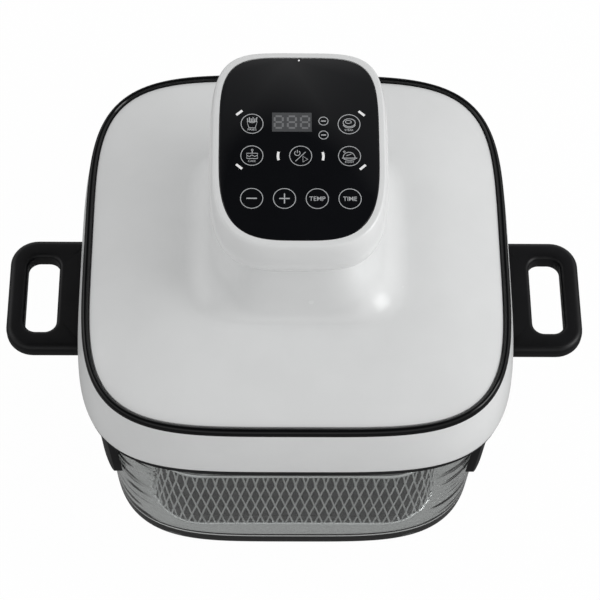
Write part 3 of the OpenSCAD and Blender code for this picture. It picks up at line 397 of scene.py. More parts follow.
def place_piece(piece, body, slot, *replaced):
    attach(piece, body)
    if replaced:
        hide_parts(*replaced)


# ---- bowl, carrier and handles ----

def bowl_w(z):
    return mix(BASE_W, BOWL_TOP_W, (z - EDGE_R) / (RING_TOP - EDGE_R))


def make_bowl(glass):
    """The glass bowl: up the outside, over the rim flange and down the inside to its floor."""
    rings = []
    for a in range(0, 91, 10):
        w = BASE_W - 2 * EDGE_R * (1 - sind(a))
        rings.append(square_ring(w, w, BOWL_N, EDGE_R * (1 - cosd(a))))
    for z in range(16, 162, 8):
        rings.append(square_ring(bowl_w(z), bowl_w(z), BOWL_N, z))
    mouth_w = BOWL_TOP_W - 2 * GLASS_WALL
    for w, z in ((BOWL_TOP_W, RING_TOP), (FLANGE_W - 1, RING_TOP), (FLANGE_W, RING_TOP + 1.5),
                 (FLANGE_W, BOWL_RIM - 1.5), (FLANGE_W - 2, BOWL_RIM), (mouth_w + 2, BOWL_RIM),
                 (mouth_w, BOWL_RIM - 1.5)):
        rings.append(square_ring(w, w, BOWL_N, z))
    inner_r = EDGE_R + 2
    for z in range(160, 18, -8):
        w = bowl_w(z) - 2 * GLASS_WALL
        rings.append(square_ring(w, w, BOWL_N, z))
    base_w = bowl_w(GLASS_BASE + inner_r) - 2 * GLASS_WALL
    for a in range(90, -1, -10):
        w = base_w - 2 * inner_r * (1 - sind(a))
        rings.append(square_ring(w, w, BOWL_N, GLASS_BASE + inner_r * (1 - cosd(a))))
    piece = loft("bowl_glass", rings, glass)
    place_piece(piece, "base", "clear_glass", "glass_bowl")


def make_handle(name, side, material):
    """A loop handle: a tongue with a finger slot, its edges well rounded."""
    outer_r, inner_r = 5.0, 3.2
    bottom = HANDLE_TOP - HANDLE_T

    def tongue(inset, z):
        y = HANDLE_W / 2 - inset
        radii = (HANDLE_R - inset, 0.6, 0.6, HANDLE_R - inset)
        return rect_ring(BOSS_X, HANDLE_REACH - inset, -y, y, radii, z)

    def slot(grow, z):
        y = SLOT_L / 2 + grow
        return rect_ring(SLOT_X - grow, SLOT_X + SLOT_W + grow, -y, y, (SLOT_R + grow,) * 4, z)

    turns = range(0, 91, 15)
    rings = [tongue(outer_r * (1 - sind(a)), bottom + outer_r * (1 - cosd(a))) for a in turns]
    rings += [tongue(outer_r * (1 - cosd(a)), HANDLE_TOP - outer_r * (1 - sind(a))) for a in turns]
    rings += [slot(inner_r * (1 - sind(a)), HANDLE_TOP - inner_r * (1 - cosd(a))) for a in turns]
    rings += [slot(inner_r * (1 - cosd(a)), bottom + inner_r * (1 - sind(a))) for a in turns]
    if side < 0:
        rings = [[(-x, y, z) for x, y, z in reversed(r)] for r in rings]
    piece = loft(name, rings, material, looped=True)
    place_piece(piece, "base", "black_plastic", "handle_right" if side > 0 else "handle_left")


def make_carrier(material):
    """The black ring under the bowl's flange, with a skirt and a handle boss on each side."""
    hug_w = [bowl_w(z) + 2 * CARRIER_GAP for z in (RING_TOP, RING_BOTTOM)]
    levels = [(CARRIER_W - 2, RING_BOTTOM), (CARRIER_W, RING_BOTTOM + 1.5), (CARRIER_W, RING_TOP - 1),
              (CARRIER_W - 1.5, RING_TOP), (hug_w[0], RING_TOP), (hug_w[1], RING_BOTTOM)]
    piece = loft("carrier_ring", [square_ring(w, w, BOWL_N, z) for w, z in levels], material, looped=True)
    place_piece(piece, "base", "black_plastic", "bowl_carrier")
    for side, hand in ((1, "right"), (-1, "left")):
        make_skirt("side_skirt_" + hand, side, material)
        make_boss("handle_boss_" + hand, side, material)


def make_skirt(name, side, material):
    """A thin side skirt that hugs the glass, with round lower corners."""
    levels = [(SKIRT_BOTTOM + SKIRT_CORNER * (1 - cosd(a)), SKIRT_REACH - SKIRT_CORNER * (1 - sind(a)))
              for a in range(0, 91, 10)]
    levels += [(z, SKIRT_REACH) for z in (92, 104, 116, 128, 140, 150, RING_BOTTOM + 0.5)]
    columns = 72
    row, count = columns + 1, len(levels)
    points, faces = [], []
    for grow in (CARRIER_GAP + SKIRT_T, CARRIER_GAP):
        for z, half in levels:
            w = bowl_w(z) + 2 * grow
            for i in range(row):
                y = mix(-half, half, i / columns)
                points.append((side * w / 2 * (1 - abs(2 * y / w) ** BOWL_N) ** (1 / BOWL_N), y, z))
    inner = row * count
    for j in range(count - 1):
        for i in range(columns):
            a = j * row + i
            faces.append((a, a + 1, a + row + 1, a + row))
            faces.append((inner + a, inner + a + row, inner + a + row + 1, inner + a + 1))
        a, b = j * row, j * row + columns
        faces.append((a, a + row, inner + a + row, inner + a))
        faces.append((b, inner + b, inner + b + row, b + row))
    for i in range(columns):
        a, b = i, (count - 1) * row + i
        faces.append((a, inner + a, inner + a + 1, a + 1))
        faces.append((b, b + 1, inner + b + 1, inner + b))
    if side < 0:
        faces = [tuple(reversed(f)) for f in faces]
    piece = new_piece(name, points, faces, material)
    ease_edges(piece, 0.8)
    place_piece(piece, "base", "black_plastic", "bowl_carrier")


def make_boss(name, side, material):
    """The block between a skirt and its handle."""
    low, high, y = HANDLE_TOP - HANDLE_T - 2.5, HANDLE_TOP + 2.5, HANDLE_W / 2 + 2
    corners = sorted((side * (BOSS_X - BOSS_DEPTH), side * BOSS_X))
    rings = [rect_ring(corners[0], corners[1], -y, y, (2,) * 4, z, 4) for z in (low, high)]
    piece = loft(name, rings, material)
    ease_edges(piece, 0.8)
    place_piece(piece, "base", "black_plastic", "bowl_carrier")


# ---- lid ----

def band_out(z):
    """The band's outer width at one height: it bows in towards the trim."""
    return mix(BAND_TOP_W, BAND_W, sind(90 * (BAND_TOP - z) / (BAND_TOP - BAND_BOTTOM)))


def make_band(material):
    """The lid's side band with the shelf on which the top sits, and the opening of the mains inlet."""
    levels = [mix(BAND_BOTTOM, BAND_TOP, t / 16) for t in range(1, 16)]
    shelf_w = LID_W - 16
    rings = [square_ring(BAND_W - 1.6, BAND_W - 1.6, BAND_N, BAND_BOTTOM),
             square_ring(BAND_W - 0.5, BAND_W - 0.5, BAND_N, BAND_BOTTOM + 0.3)]
    rings += [square_ring(band_out(z), band_out(z), BAND_N, z) for z in levels]
    rings += [square_ring(BAND_TOP_W, BAND_TOP_W, BAND_N, BAND_TOP),
              square_ring(shelf_w, shelf_w, LID_N, BAND_TOP),
              square_ring(shelf_w, shelf_w, LID_N, BAND_TOP - 2.5),
              square_ring(BAND_TOP_W - 3, BAND_TOP_W - 3, BAND_N, BAND_TOP - 2.5)]
    for z in reversed(levels[:14]):
        w = band_out(z) - 2 * BAND_WALL
        rings.append(square_ring(w, w, BAND_N, z))
    rings.append(square_ring(BAND_W - 2 * BAND_WALL, BAND_W - 2 * BAND_WALL, BAND_N, BAND_BOTTOM))
    piece = loft("white_side_band", rings, material, looped=True)
    inside, outside = 152, 168
    cut_out(piece, [((-INLET_W / 2, inside, INLET_Z - INLET_H / 2),
                     (INLET_W / 2, outside, INLET_Z + INLET_H / 2))])
    place_piece(piece, "lid", "white_plastic", "lid_side_band")


def make_trim(material):
    """The half-round bead between the band and the top."""
    inner_w = LID_W + 2 * TRIM_GAP
    half = (BAND_TOP_W - inner_w) / 2
    rings = [square_ring(BAND_TOP_W, BAND_TOP_W, BAND_N, BAND_TOP)]
    for a in range(0, 181, 12):
        w = inner_w + half * (1 + cosd(a))
        n = mix(LID_N, BAND_N, (1 + cosd(a)) / 2)
        rings.append(square_ring(w, w, n, BAND_TOP + TRIM_FOOT + TRIM_RISE * sind(a)))
    rings.append(square_ring(inner_w, inner_w, LID_N, BAND_TOP))
    piece = loft("black_trim_bead", rings, material, looped=True)
    place_piece(piece, "lid", "gloss_black", "lid_trim_ring")


def dome_ring(t, inset=0.0):
    """The dome, from 0 at the trim to 1 at the pedestal's foot."""
    return square_ring(mix(LID_W, FOOT_W, t) - 2 * inset, mix(LID_W, FOOT_D, t) - 2 * inset,
                       mix(LID_N, FOOT_N, t), LID_EDGE + DOME_RISE * sind(90 * t) - inset)


def pedestal_ring(t, inset=0.0):
    """The pedestal, from 0 at its foot to 1 at the seam."""
    return square_ring(mix(FOOT_W, SEAM_W, sind(90 * t)) - 2 * inset,
                       mix(FOOT_D, SEAM_D, sind(90 * t)) - 2 * inset, mix(FOOT_N, SEAM_N, t),
                       FOOT_Z + PEDESTAL_H * (1 - cosd(90 * t)) - inset)


def make_lid_top(material):
    """The white top: a low dome that sweeps up into the pedestal, and its inside face."""
    outer = [square_ring(LID_W, LID_W, LID_N, BAND_TOP), square_ring(LID_W, LID_W, LID_N, LID_EDGE - 0.9),
             square_ring(LID_W - 0.5, LID_W - 0.5, LID_N, LID_EDGE - 0.3)]
    outer += [dome_ring(t / 20) for t in range(1, 20)]
    outer += [pedestal_ring(t / 24) for t in range(1, 24)]
    # The rounded upper edge leaves a fine seam below the pod
    top = PEDESTAL_H + FOOT_Z
    outer += [square_ring(SEAM_W - 2 * inset, SEAM_D - 2 * inset, SEAM_N, top - drop)
              for inset, drop in ((0, 1.3), (0.3, 0.6), (1.0, 0.1))]
    inner = [square_ring(SEAM_W - 2 * LID_WALL, SEAM_D - 2 * LID_WALL, SEAM_N, top - 0.1)]
    inner += [pedestal_ring(t / 24, LID_WALL) for t in range(21, 0, -1)]
    inner += [dome_ring(t / 20, LID_WALL) for t in range(19, 1, -1)]
    inner += [square_ring(LID_W - 6.4, LID_W - 6.4, LID_N, BAND_TOP)]
    piece = loft("white_lid_top", outer + inner, material, looped=True)
    place_piece(piece, "lid", "white_plastic", "lid_top_shell")


# ---- control pod ----

def pod_ring(w, d, z, shift=0.0):
    """The pod's outline at one height: it tilts and squares itself on the way up to the panel."""
    t = (z - SEAM_Z) / POD_H
    front_n, back_n = mix(SEAM_N, FRONT_N, t), mix(SEAM_N, BACK_N, t)
    return square_ring(w, d, front_n, z, PANEL_TILT * max(0, t), back_n, shift)


def flare_ring(t, inset=0.0):
    """The pod's flare, from 0 at the seam to 1 at its widest."""
    w, d = mix(SEAM_W, BELLY_W, sind(90 * t)), mix(SEAM_D, BELLY_D, sind(90 * t))
    return pod_ring(w - 2 * inset, d - 2 * inset, mix(SEAM_Z, BELLY_Z, t))


def shoulder_ring(t):
    """The pod's shoulder, from 0 at its widest to 1 at the lip round the panel."""
    edge = 2 * (LIP + PANEL_GAP)
    return pod_ring(mix(PANEL_W + edge, BELLY_W, cosd(90 * t)), mix(PANEL_D + edge, BELLY_D, cosd(90 * t)),
                    mix(BELLY_Z, PANEL_Z + LIP_RISE, sind(90 * t)), PANEL_BACK * sind(90 * t))


def panel_ring(grow, z):
    """The panel's outline on its tilted plane, grown all round."""
    return square_ring(PANEL_W + 2 * grow, PANEL_D + 2 * grow, FRONT_N, z, PANEL_TILT, BACK_N, PANEL_BACK)


def make_pod(material):
    """The white pod: up from the seam over the belly to the lip, and down inside past the panel's seat."""
    def neck_ring(inset, z):
        return square_ring(SEAM_W - 2 * inset, SEAM_D - 2 * inset, SEAM_N, z)

    spigot = LID_WALL + SPIGOT_GAP
    seat_z = PANEL_Z - PANEL_T
    rings = [neck_ring(spigot + POD_WALL, SEAM_Z - 6), neck_ring(spigot, SEAM_Z - 6),
             neck_ring(spigot, SEAM_Z), neck_ring(1.0, SEAM_Z + 0.1), neck_ring(0.1, SEAM_Z + 0.9)]
    rings += [flare_ring(t / 16) for t in range(1, 17)]
    rings += [shoulder_ring(t / 16) for t in range(1, 17)]
    rings += [panel_ring(PANEL_GAP, PANEL_Z + LIP_RISE), panel_ring(PANEL_GAP, seat_z),
              panel_ring(PANEL_GAP - 4, seat_z), panel_ring(PANEL_GAP - 4, seat_z - 2.5)]
    rings += [flare_ring(t, POD_WALL) for t in (0.96, 0.7, 0.4)]
    rings += [neck_ring(spigot + 0.2, SEAM_Z + 2.5), neck_ring(spigot + POD_WALL, SEAM_Z + 2.5)]
    piece = loft("white_pod", rings, material, looped=True)
    vents = [((k * 9 - 1.5, 40, SEAM_Z + 16), (k * 9 + 1.5, 100, SEAM_Z + 34)) for k in range(-3, 4)]
    cut_out(piece, vents)
    place_piece(piece, "lid", "white_plastic", "pod_shell")


def make_panel(material):
    """The touch panel's glass, its upper edge ground round."""
    levels = [(0, PANEL_Z - PANEL_T), (0, PANEL_Z - 0.6), (0.175, PANEL_Z - 0.2), (0.5, PANEL_Z)]
    piece = loft("touch_panel_glass", [panel_ring(-inset, z) for inset, z in levels], material)
    place_piece(piece, "lid", "gloss_black", "touch_panel")


# ---- basket ----

def basket_ring(inset, z):
    """The basket's outline at one height, drawn in by an inset."""
    x, y = BASKET_W / 2 - inset, BASKET_D / 2 - inset
    return rect_ring(-x, x, -y, y, (BASKET_R - inset,) * 4, z, 16)


def bead(name, inset, z, material, replaced):
    """A round wire that follows the basket's outline."""
    rings = [basket_ring(inset - WIRE_R * cosd(a), z + WIRE_R * sind(a)) for a in range(0, 360, 30)]
    piece = loft(name, rings, material, looped=True)
    place_piece(piece, "basket", "bright_sheet", replaced)


def make_basket(steel, coating):
    """The basket's hem, bottom wire and floor, and the coated tray that lies on the floor."""
    bead("rolled_basket_hem", 1.2, BASKET_TOP - WIRE_R, steel, "basket_rim")
    bead("basket_bottom_wire", 1.3, MESH_BOTTOM + WIRE_R, steel, "basket_mesh")
    low = MESH_BOTTOM + 1.2
    profile = [(4.4, low), (3.2, low + 1.2), (3.2, low + 8.6), (3.5, low + 9), (4.4, low + 9),
               (4.7, low + 8.6), (4.7, low + 2.7), (5.9, low + 1.5)]
    piece = loft("coated_tray", [basket_ring(inset, z) for inset, z in profile], coating)
    place_piece(piece, "basket", "non_stick", "crisper_tray")
    profile = [(0.6, MESH_BOTTOM), (0, MESH_BOTTOM + 0.5), (0, MESH_BOTTOM + 1.2)]
    piece = loft("basket_floor", [basket_ring(inset, z) for inset, z in profile], steel)
    place_piece(piece, "basket", "bright_sheet", "basket_mesh")


def node_group(name, values):
    """A Geometry Nodes group with an input for each count or length, and those inputs' sockets."""
    group = bpy.data.node_groups.new(name, "GeometryNodeTree")
    for label, value in values.items():
        kind = "NodeSocketInt" if isinstance(value, int) else "NodeSocketFloat"
        group.interface.new_socket(label, in_out="INPUT", socket_type=kind).default_value = value
    group.interface.new_socket("Geometry", in_out="OUTPUT", socket_type="NodeSocketGeometry")
    return group, add(group, "NodeGroupInput").outputs


def close_group(group, geometry, material):
    """Realises the instances, paints them and ends the tree."""
    real = add(group, "GeometryNodeRealizeInstances", {}, {"Geometry": geometry})
    painted = add(group, "GeometryNodeSetMaterial", {"Material": material}, {"Geometry": real.outputs[0]})
    add(group, "NodeGroupOutput", {}, {"Geometry": painted.outputs[0]})


def grow_piece(name, group, values):
    """Runs a Geometry Nodes group on an empty mesh and keeps the result as a plain mesh."""
    piece = new_object(name, bpy.data.meshes.new(name))
    change = piece.modifiers.new(name, "NODES")
    change.node_group = group
    for item in group.interface.items_tree:
        if item.in_out == "INPUT":
            change[item.identifier] = values[item.name]
    settle(piece, 40)
    return piece


def math_node(group, operation, first, second):
    """One sum of two numbers or sockets."""
    made = add(group, "ShaderNodeMath", {"operation": operation})
    for slot, value in enumerate((first, second)):
        if isinstance(value, (int, float)):
            made.inputs[slot].default_value = value
        else:
            group.links.new(value, made.inputs[slot])
    return made.outputs[0]


def make_mesh_wall(steel):
    """The expanded-metal wall: rows of tall diamonds and a last row of arches below the hem."""
    inset, columns = 0.7, 119
    round_r = BASKET_R - inset
    length = 2 * (BASKET_W + BASKET_D - 4 * inset) - 8 * round_r + 2 * math.pi * round_r
    sizes = {
        "Width": (BASKET_W - 2 * inset) * MM, "Depth": (BASKET_D - 2 * inset) * MM,
        "Corner radius": round_r * MM, "Bottom": MESH_BOTTOM * MM, "Row height": 34 * MM,
        "Columns": columns, "Rows": 2,
        "Diamond width": length / columns * MM, "Strand radius": 0.75 * MM, "Bend radius": 0.3 * MM}
    group, given = node_group("expanded_mesh", sizes)
    path = add(group, "GeometryNodeCurvePrimitiveQuadrilateral", {},
               {"Width": given["Width"], "Height": given["Depth"]})
    round_path = add(group, "GeometryNodeFilletCurve", {"mode": "POLY", "Count": 24, "Limit Radius": True},
                     {"Curve": path.outputs[0], "Radius": given["Corner radius"]})
    halves = math_node(group, "MULTIPLY", given["Columns"], 2)
    even = add(group, "GeometryNodeResampleCurve", {}, {"Curve": round_path.outputs[0], "Count": halves})
    # Diamonds stand on every second point, and the arches on the points between them
    place = add(group, "GeometryNodeInputIndex")
    between = math_node(group, "MODULO", place.outputs[0], 2)
    on = math_node(group, "SUBTRACT", 1, between)
    half_row = math_node(group, "MULTIPLY", given["Row height"], 0.5)
    reach = math_node(group, "MULTIPLY", half_row, 1.03)
    kite = add(group, "GeometryNodeCurvePrimitiveQuadrilateral", {"mode": "KITE"}, {
        "Width": given["Diamond width"], "Bottom Height": reach, "Top Height": reach})
    bent = add(group, "GeometryNodeFilletCurve", {"mode": "POLY", "Count": 2, "Limit Radius": True},
               {"Curve": kite.outputs[0], "Radius": given["Bend radius"]})
    strand = add(group, "GeometryNodeCurvePrimitiveCircle", {"Resolution": 4},
                 {"Radius": given["Strand radius"]})
    loop = add(group, "GeometryNodeCurveToMesh", {},
               {"Curve": bent.outputs[0], "Profile Curve": strand.outputs[0]})
    half_width = math_node(group, "MULTIPLY", given["Diamond width"], 0.5)
    start = add(group, "ShaderNodeCombineXYZ", {}, {"X": math_node(group, "MULTIPLY", half_width, -1)})
    middle = add(group, "ShaderNodeCombineXYZ", {}, {"Y": given["Row height"]})
    end = add(group, "ShaderNodeCombineXYZ", {}, {"X": half_width})
    arch = add(group, "GeometryNodeCurveQuadraticBezier", {"Resolution": 8}, {
        "Start": start.outputs[0], "Middle": middle.outputs[0], "End": end.outputs[0]})
    bow = add(group, "GeometryNodeCurveToMesh", {"Fill Caps": True},
              {"Curve": arch.outputs[0], "Profile Curve": strand.outputs[0]})
    turn = add(group, "FunctionNodeAlignRotationToVector", {"axis": "X"},
               {"Vector": add(group, "GeometryNodeInputTangent").outputs[0]})
    rows = []
    for shape, chosen in ((loop, on), (bow, between)):
        upright = add(group, "GeometryNodeTransform", {"Rotation": (math.pi / 2, 0, 0)},
                      {"Geometry": shape.outputs[0]})
        rows.append(add(group, "GeometryNodeInstanceOnPoints", {}, {
            "Points": even.outputs[0], "Selection": chosen, "Instance": upright.outputs[0],
            "Rotation": turn.outputs[0]}))
    low = add(group, "ShaderNodeCombineXYZ", {}, {"Z": math_node(group, "ADD", given["Bottom"], half_row)})
    step = add(group, "ShaderNodeCombineXYZ", {}, {"Z": given["Row height"]})
    stack = add(group, "GeometryNodeMeshLine", {}, {
        "Count": given["Rows"], "Start Location": low.outputs[0], "Offset": step.outputs[0]})
    diamonds = add(group, "GeometryNodeInstanceOnPoints", {}, {
        "Points": stack.outputs[0], "Instance": rows[0].outputs[0]})
    rise = math_node(group, "MULTIPLY", given["Row height"], given["Rows"])
    top = add(group, "ShaderNodeCombineXYZ", {}, {"Z": math_node(group, "ADD", given["Bottom"], rise)})
    arches = add(group, "GeometryNodeTransform", {}, {
        "Geometry": rows[1].outputs[0], "Translation": top.outputs[0]})
    both = add(group, "GeometryNodeJoinGeometry", {}, {0: diamonds.outputs[0]})
    group.links.new(arches.outputs[0], both.inputs[0])
    close_group(group, both.outputs[0], steel)
    place_piece(grow_piece("expanded_mesh_wall", group, sizes), "basket", "bright_sheet", "basket_mesh")


# ---- printed signs on the panel ----

def panel_point(x, y, lift=0.0):
    """A point of the touch panel's tilted face."""
    return (x + PRINT_X, y * cosd(PANEL_TILT) - lift * sind(PANEL_TILT),
            PANEL_Z + y * sind(PANEL_TILT) + lift * cosd(PANEL_TILT))


def ribbon(path, width, closed):
    """A flat line along a path on the panel, as (points, faces) in panel coordinates."""
    count = len(path)
    points, faces = [], []
    for i, (x, y) in enumerate(path):
        before = path[i - 1] if i or closed else (x, y)
        after = path[(i + 1) % count] if i < count - 1 or closed else (x, y)
        dx, dy = after[0] - before[0], after[1] - before[1]
        size = math.hypot(dx, dy) or 1
        nx, ny = -dy / size * width / 2, dx / size * width / 2
        points += [(x + nx, y + ny), (x - nx, y - ny)]
    for i in range(count if closed else count - 1):
        a, b = 2 * i, 2 * ((i + 1) % count)
        faces.append((a, a + 1, b + 1, b))
    return points, faces


def arc(cx, cy, r, start, end, steps, ry=None):
    tall = ry or r
    return [(cx + r * cosd(mix(start, end, k / steps)), cy + tall * sind(mix(start, end, k / steps)))
            for k in range(steps + 1)]


def line(x0, y0, x1, y1, width):
    return [(x0, y0), (x1, y1)], width, False


def ring_line(x, y, r, width, ry=None, steps=32):
    return arc(x, y, r, 0, 360 - 360 / steps, steps - 1, ry), width, True


def print_piece(name, strokes, material, lift=0.02):
    """Printed lines, each a (path, width, closed), as one thin closed piece on the panel's face."""
    thick = 0.05
    points, faces = [], []
    for path, width, closed in strokes:
        base = len(points)
        flat, quads = ribbon(path, width, closed)
        points += flat
        faces += [tuple(base + i for i in q) for q in quads]
    total = len(points)
    low = [panel_point(x, y, lift) for x, y in points]
    high = [panel_point(x, y, lift + thick) for x, y in points]
    edges = {(a, q[(i + 1) % 4]): True for q in faces for i, a in enumerate(q)}
    sides = [(a, b, b + total, a + total) for a, b in edges if (b, a) not in edges]
    tops = [tuple(i + total for i in q) for q in faces]
    bottoms = [tuple(reversed(q)) for q in faces]
    piece = new_piece(name, low + high, tops + bottoms + sides, material, 20)
    place_piece(piece, "lid", "gloss_black")


def make_print(ink, bright_ink, display, segment):
    """Key rings, signs, bars and display. Sizes are in mm from the middle of each key."""
    print_piece("key_rings", [ring_line(x, y, KEY_R, 0.5) for x, y in KEYS], ink)
    thin = 0.5
    # Minus and plus
    x, y = KEYS[0]
    marks = [line(x - 3.6, y, x + 3.6, y, 0.8)]
    x, y = KEYS[1]
    marks += [line(x - 3.6, y, x + 3.6, y, 0.8), line(x, y - 3.8, x, y + 3.8, 0.8)]
    # Power sign, slash and play triangle on the middle key
    x, y = KEYS[5]
    marks += [(arc(x - 2.3, y + 2.1, 1.9, 125, 415, 14), thin, False),
              line(x - 2.3, y + 2.3, x - 2.3, y + 4.6, thin),
              line(x - 3.6, y - 4.2, x + 3.4, y + 3.1, thin),
              ([(x + 1.5, y - 4.8), (x + 1.5, y - 0.3), (x + 4.8, y - 2.6)], thin, True)]
    # Cake with a candle on the left key
    x, y = KEYS[4]
    icing = [(x - 3.5, y + 0.2), (x - 1.8, y - 0.9), (x, y + 0.5), (x + 2, y - 0.7), (x + 3.9, y + 0.4)]
    marks += [([(x - 3.5, y - 2.3), (x + 3.9, y - 2.3), (x + 3.9, y + 1.8), (x - 3.5, y + 1.8)], thin, True),
              (icing, thin, False), line(x + 0.2, y + 1.8, x + 0.2, y + 3.4, 0.6),
              ring_line(x + 0.2, y + 4.3, 0.6, 0.4, 0.8, 10)]
    # Roast on a dish on the right key
    x, y = KEYS[6]
    marks += [(arc(x - 0.3, y - 1.2, 4.1, 0, 180, 14, 4.2), thin, False),
              line(x - 5.2, y - 1.6, x + 5.2, y - 1.6, 0.6),
              (arc(x, y - 1.7, 4.2, 200, 340, 10, 1.5), thin, False),
              line(x - 2.2, y + 0.2, x + 1.4, y + 1.6, 0.45),
              ring_line(x - 3.6, y + 3.4, 0.6, 0.4, steps=8)]
    # Carton of fries on the back left key
    x, y = KEYS[7]
    marks += [([(x - 3.5, y + 1.6), (x - 2.2, y - 3.2), (x + 2.2, y - 3.2), (x + 3.5, y + 1.6)], thin, True),
              (arc(x, y + 2.4, 2.6, 200, 340, 8, 1.6), 0.4, False)]
    for k in range(6):
        foot, lean = x - 2.9 + 1.16 * k, 0.16 * (k - 2.5)
        marks.append(line(foot, y + 1.8, foot + lean, y + 4.2 + (k % 2) * 0.9, 0.6))
    # Steak on the back right key
    x, y = KEYS[8]
    marks += [ring_line(x + 0.1, y + 1.2, 4.2, thin, 3.1), ring_line(x - 0.5, y + 1.8, 2.1, 0.45, 1.2, 18),
              (arc(x + 0.1, y + 0.3, 4.3, 195, 345, 12, 3.2), thin, False)]
    for x, y in PILOTS:
        marks += [ring_line(x, y, 3.2, 0.5), line(x - 1.7, y, x + 1.7, y, 0.8)]
    print_piece("key_signs", marks, ink)
    # Tick bars at the corners, brackets beside the middle key and a dot at the back edge
    bars = []
    for x, y, lean in ((-42.4, 28.6, 41), (42.3, 28.6, -41), (-42.2, -13.6, -41), (42.5, -13.6, 41)):
        dx, dy = 2.7 * cosd(lean), 2.7 * sind(lean)
        bars.append(line(x - dx, y - dy, x + dx, y + dy, 1.7))
    bars += [(arc(-4.6, -5.2, 11, 163, 197, 8), 1.7, False), (arc(4.6, -5.2, 11, -17, 17, 8), 1.7, False),
             ring_line(-1, 70.9, 0.35, 0.7, steps=10)]
    print_piece("tick_bars", bars, bright_ink)
    x, y = DISPLAY
    print_piece("display_window", [line(x, y - 7.5, x, y + 7.5, 27.4)], display)
    digits = []
    for cx in (x - 9.1, x, x + 9.1):
        digits += [line(cx - 2.2, y + rise, cx + 2.2, y + rise, 1.4) for rise in (-4.6, 0, 4.6)]
        digits += [line(cx + out, y + foot, cx + out, y + foot + 3, 1.4)
                   for out in (-2.8, 2.8) for foot in (-3.8, 0.8)]
    print_piece("display_segments", digits, segment, lift=0.08)


def make_key_words(ink):
    """The printed words, as (word, key, width, height, rise above the key's middle)."""
    words = (("TEMP", 2, 11.0, 3.2, 0), ("TIME", 3, 9.4, 3.2, 0), ("CAKE", 4, 5.2, 1.5, -4.3),
             ("ROAST", 6, 6.2, 1.5, -4.6), ("FRIES", 7, 6.0, 1.5, -4.6), ("STEAK", 8, 6.0, 1.5, -4.6))
    for word, key, width, height, rise in words:
        curve = bpy.data.curves.new("word_" + word, "FONT")
        curve.body, curve.size, curve.align_x, curve.align_y = word, height / 0.7 * MM, "CENTER", "CENTER"
        curve.extrude, curve.offset = 0.03 * MM, 0.008 * height * MM
        letters = new_object("word_" + word, curve)
        mesh = final_mesh(letters)
        bpy.data.objects.remove(letters)
        corners = [[f(v.co[k] for v in mesh.vertices) for k in (0, 1)] for f in (min, max)]
        centre = [(a + b) / 2 for a, b in zip(*corners)]
        scale = [goal * MM / (b - a) for goal, a, b in zip((width, height), *corners)]
        fit = Matrix.Diagonal((scale[0], scale[1], 1, 1)) @ Matrix.Translation((-centre[0], -centre[1], 0))
        mesh.transform(fit)
        x, y = KEYS[key]
        place = Matrix.Translation(Vector(panel_point(x, y + rise, 0.04)) * MM)
        mesh.transform(place @ Matrix.Rotation(math.radians(PANEL_TILT), 4, "X"))
        mesh.materials.clear()
        mesh.materials.append(ink)
        place_piece(new_object("word_" + word, mesh), "lid", "gloss_black")


# ---- CAD nodes in their own shape ----

def make_chassis(material):
    """The chassis tray: the CAD shape, drawn in at its sides to clear the neck of the pod."""
    mesh = nodes["control_chassis"].data.copy()
    mesh.name = "chassis_tray"
    work = bmesh.new()
    work.from_mesh(mesh)
    bmesh.ops.remove_doubles(work, verts=work.verts, dist=0.00001)
    bmesh.ops.dissolve_limit(work, angle_limit=math.radians(0.5), verts=work.verts, edges=work.edges)
    work.to_mesh(mesh)
    work.free()
    mesh.materials.clear()
    mesh.materials.append(material)
    piece = new_object("chassis_tray", mesh)
    settle(piece, 30)
    piece.data.transform(Matrix.Diagonal((0.87, 0.98, 1, 1)))
    place_piece(piece, "lid", "black_plastic", "control_chassis")


CAD_FINISH = {
    "carrier_gasket": "silicone", "handle_screws": "zinc", "lid_magnet": "zinc",
    "basket_feet": "silicone", "lid_base_plate": "phenolic", "lid_seal": "silicone", "lid_screws": "zinc",
    "reflector_pan": "aluminised", "insulation_pad": "fibre", "heat_shield": "aluminised",
    "halogen_lamp": "quartz", "lamp_end_caps": "ceramic", "lamp_clips": "zinc",
    "fan_guard": "chrome_wire", "guard_screws": "zinc", "motor_bracket": "zinc", "bracket_screws": "zinc",
    "fan_motor": "laminations", "motor_bushes": "bronze", "motor_screws": "zinc",
    "motor_shaft": "stainless", "hot_air_fan": "aluminised", "cooling_fan": "pps", "fan_nuts": "zinc",
    "temperature_sensor": "stainless", "thermal_cutout": "ceramic", "reed_switch": "board",
    "mains_inlet": "black_abs", "inlet_pins": "brass", "inlet_screws": "zinc", "power_board": "board",
    "power_components": "component", "buzzer": "black_abs", "light_frame": "black_abs",
    "display_module": "display", "indicator_leds": "segment", "touch_board": "board",
    "touch_springs": "stainless", "board_screws": "zinc",
}


def finish_cad_nodes(materials):
    for name, finish in CAD_FINISH.items():
        slots = nodes[name].data.materials
        slots.clear()
        slots.append(materials[finish])


# ---- studio ----

FLOOR_Z, SOFTBOX_SIZE, WHITE = -0.3, 900, (1, 1, 1, 1)


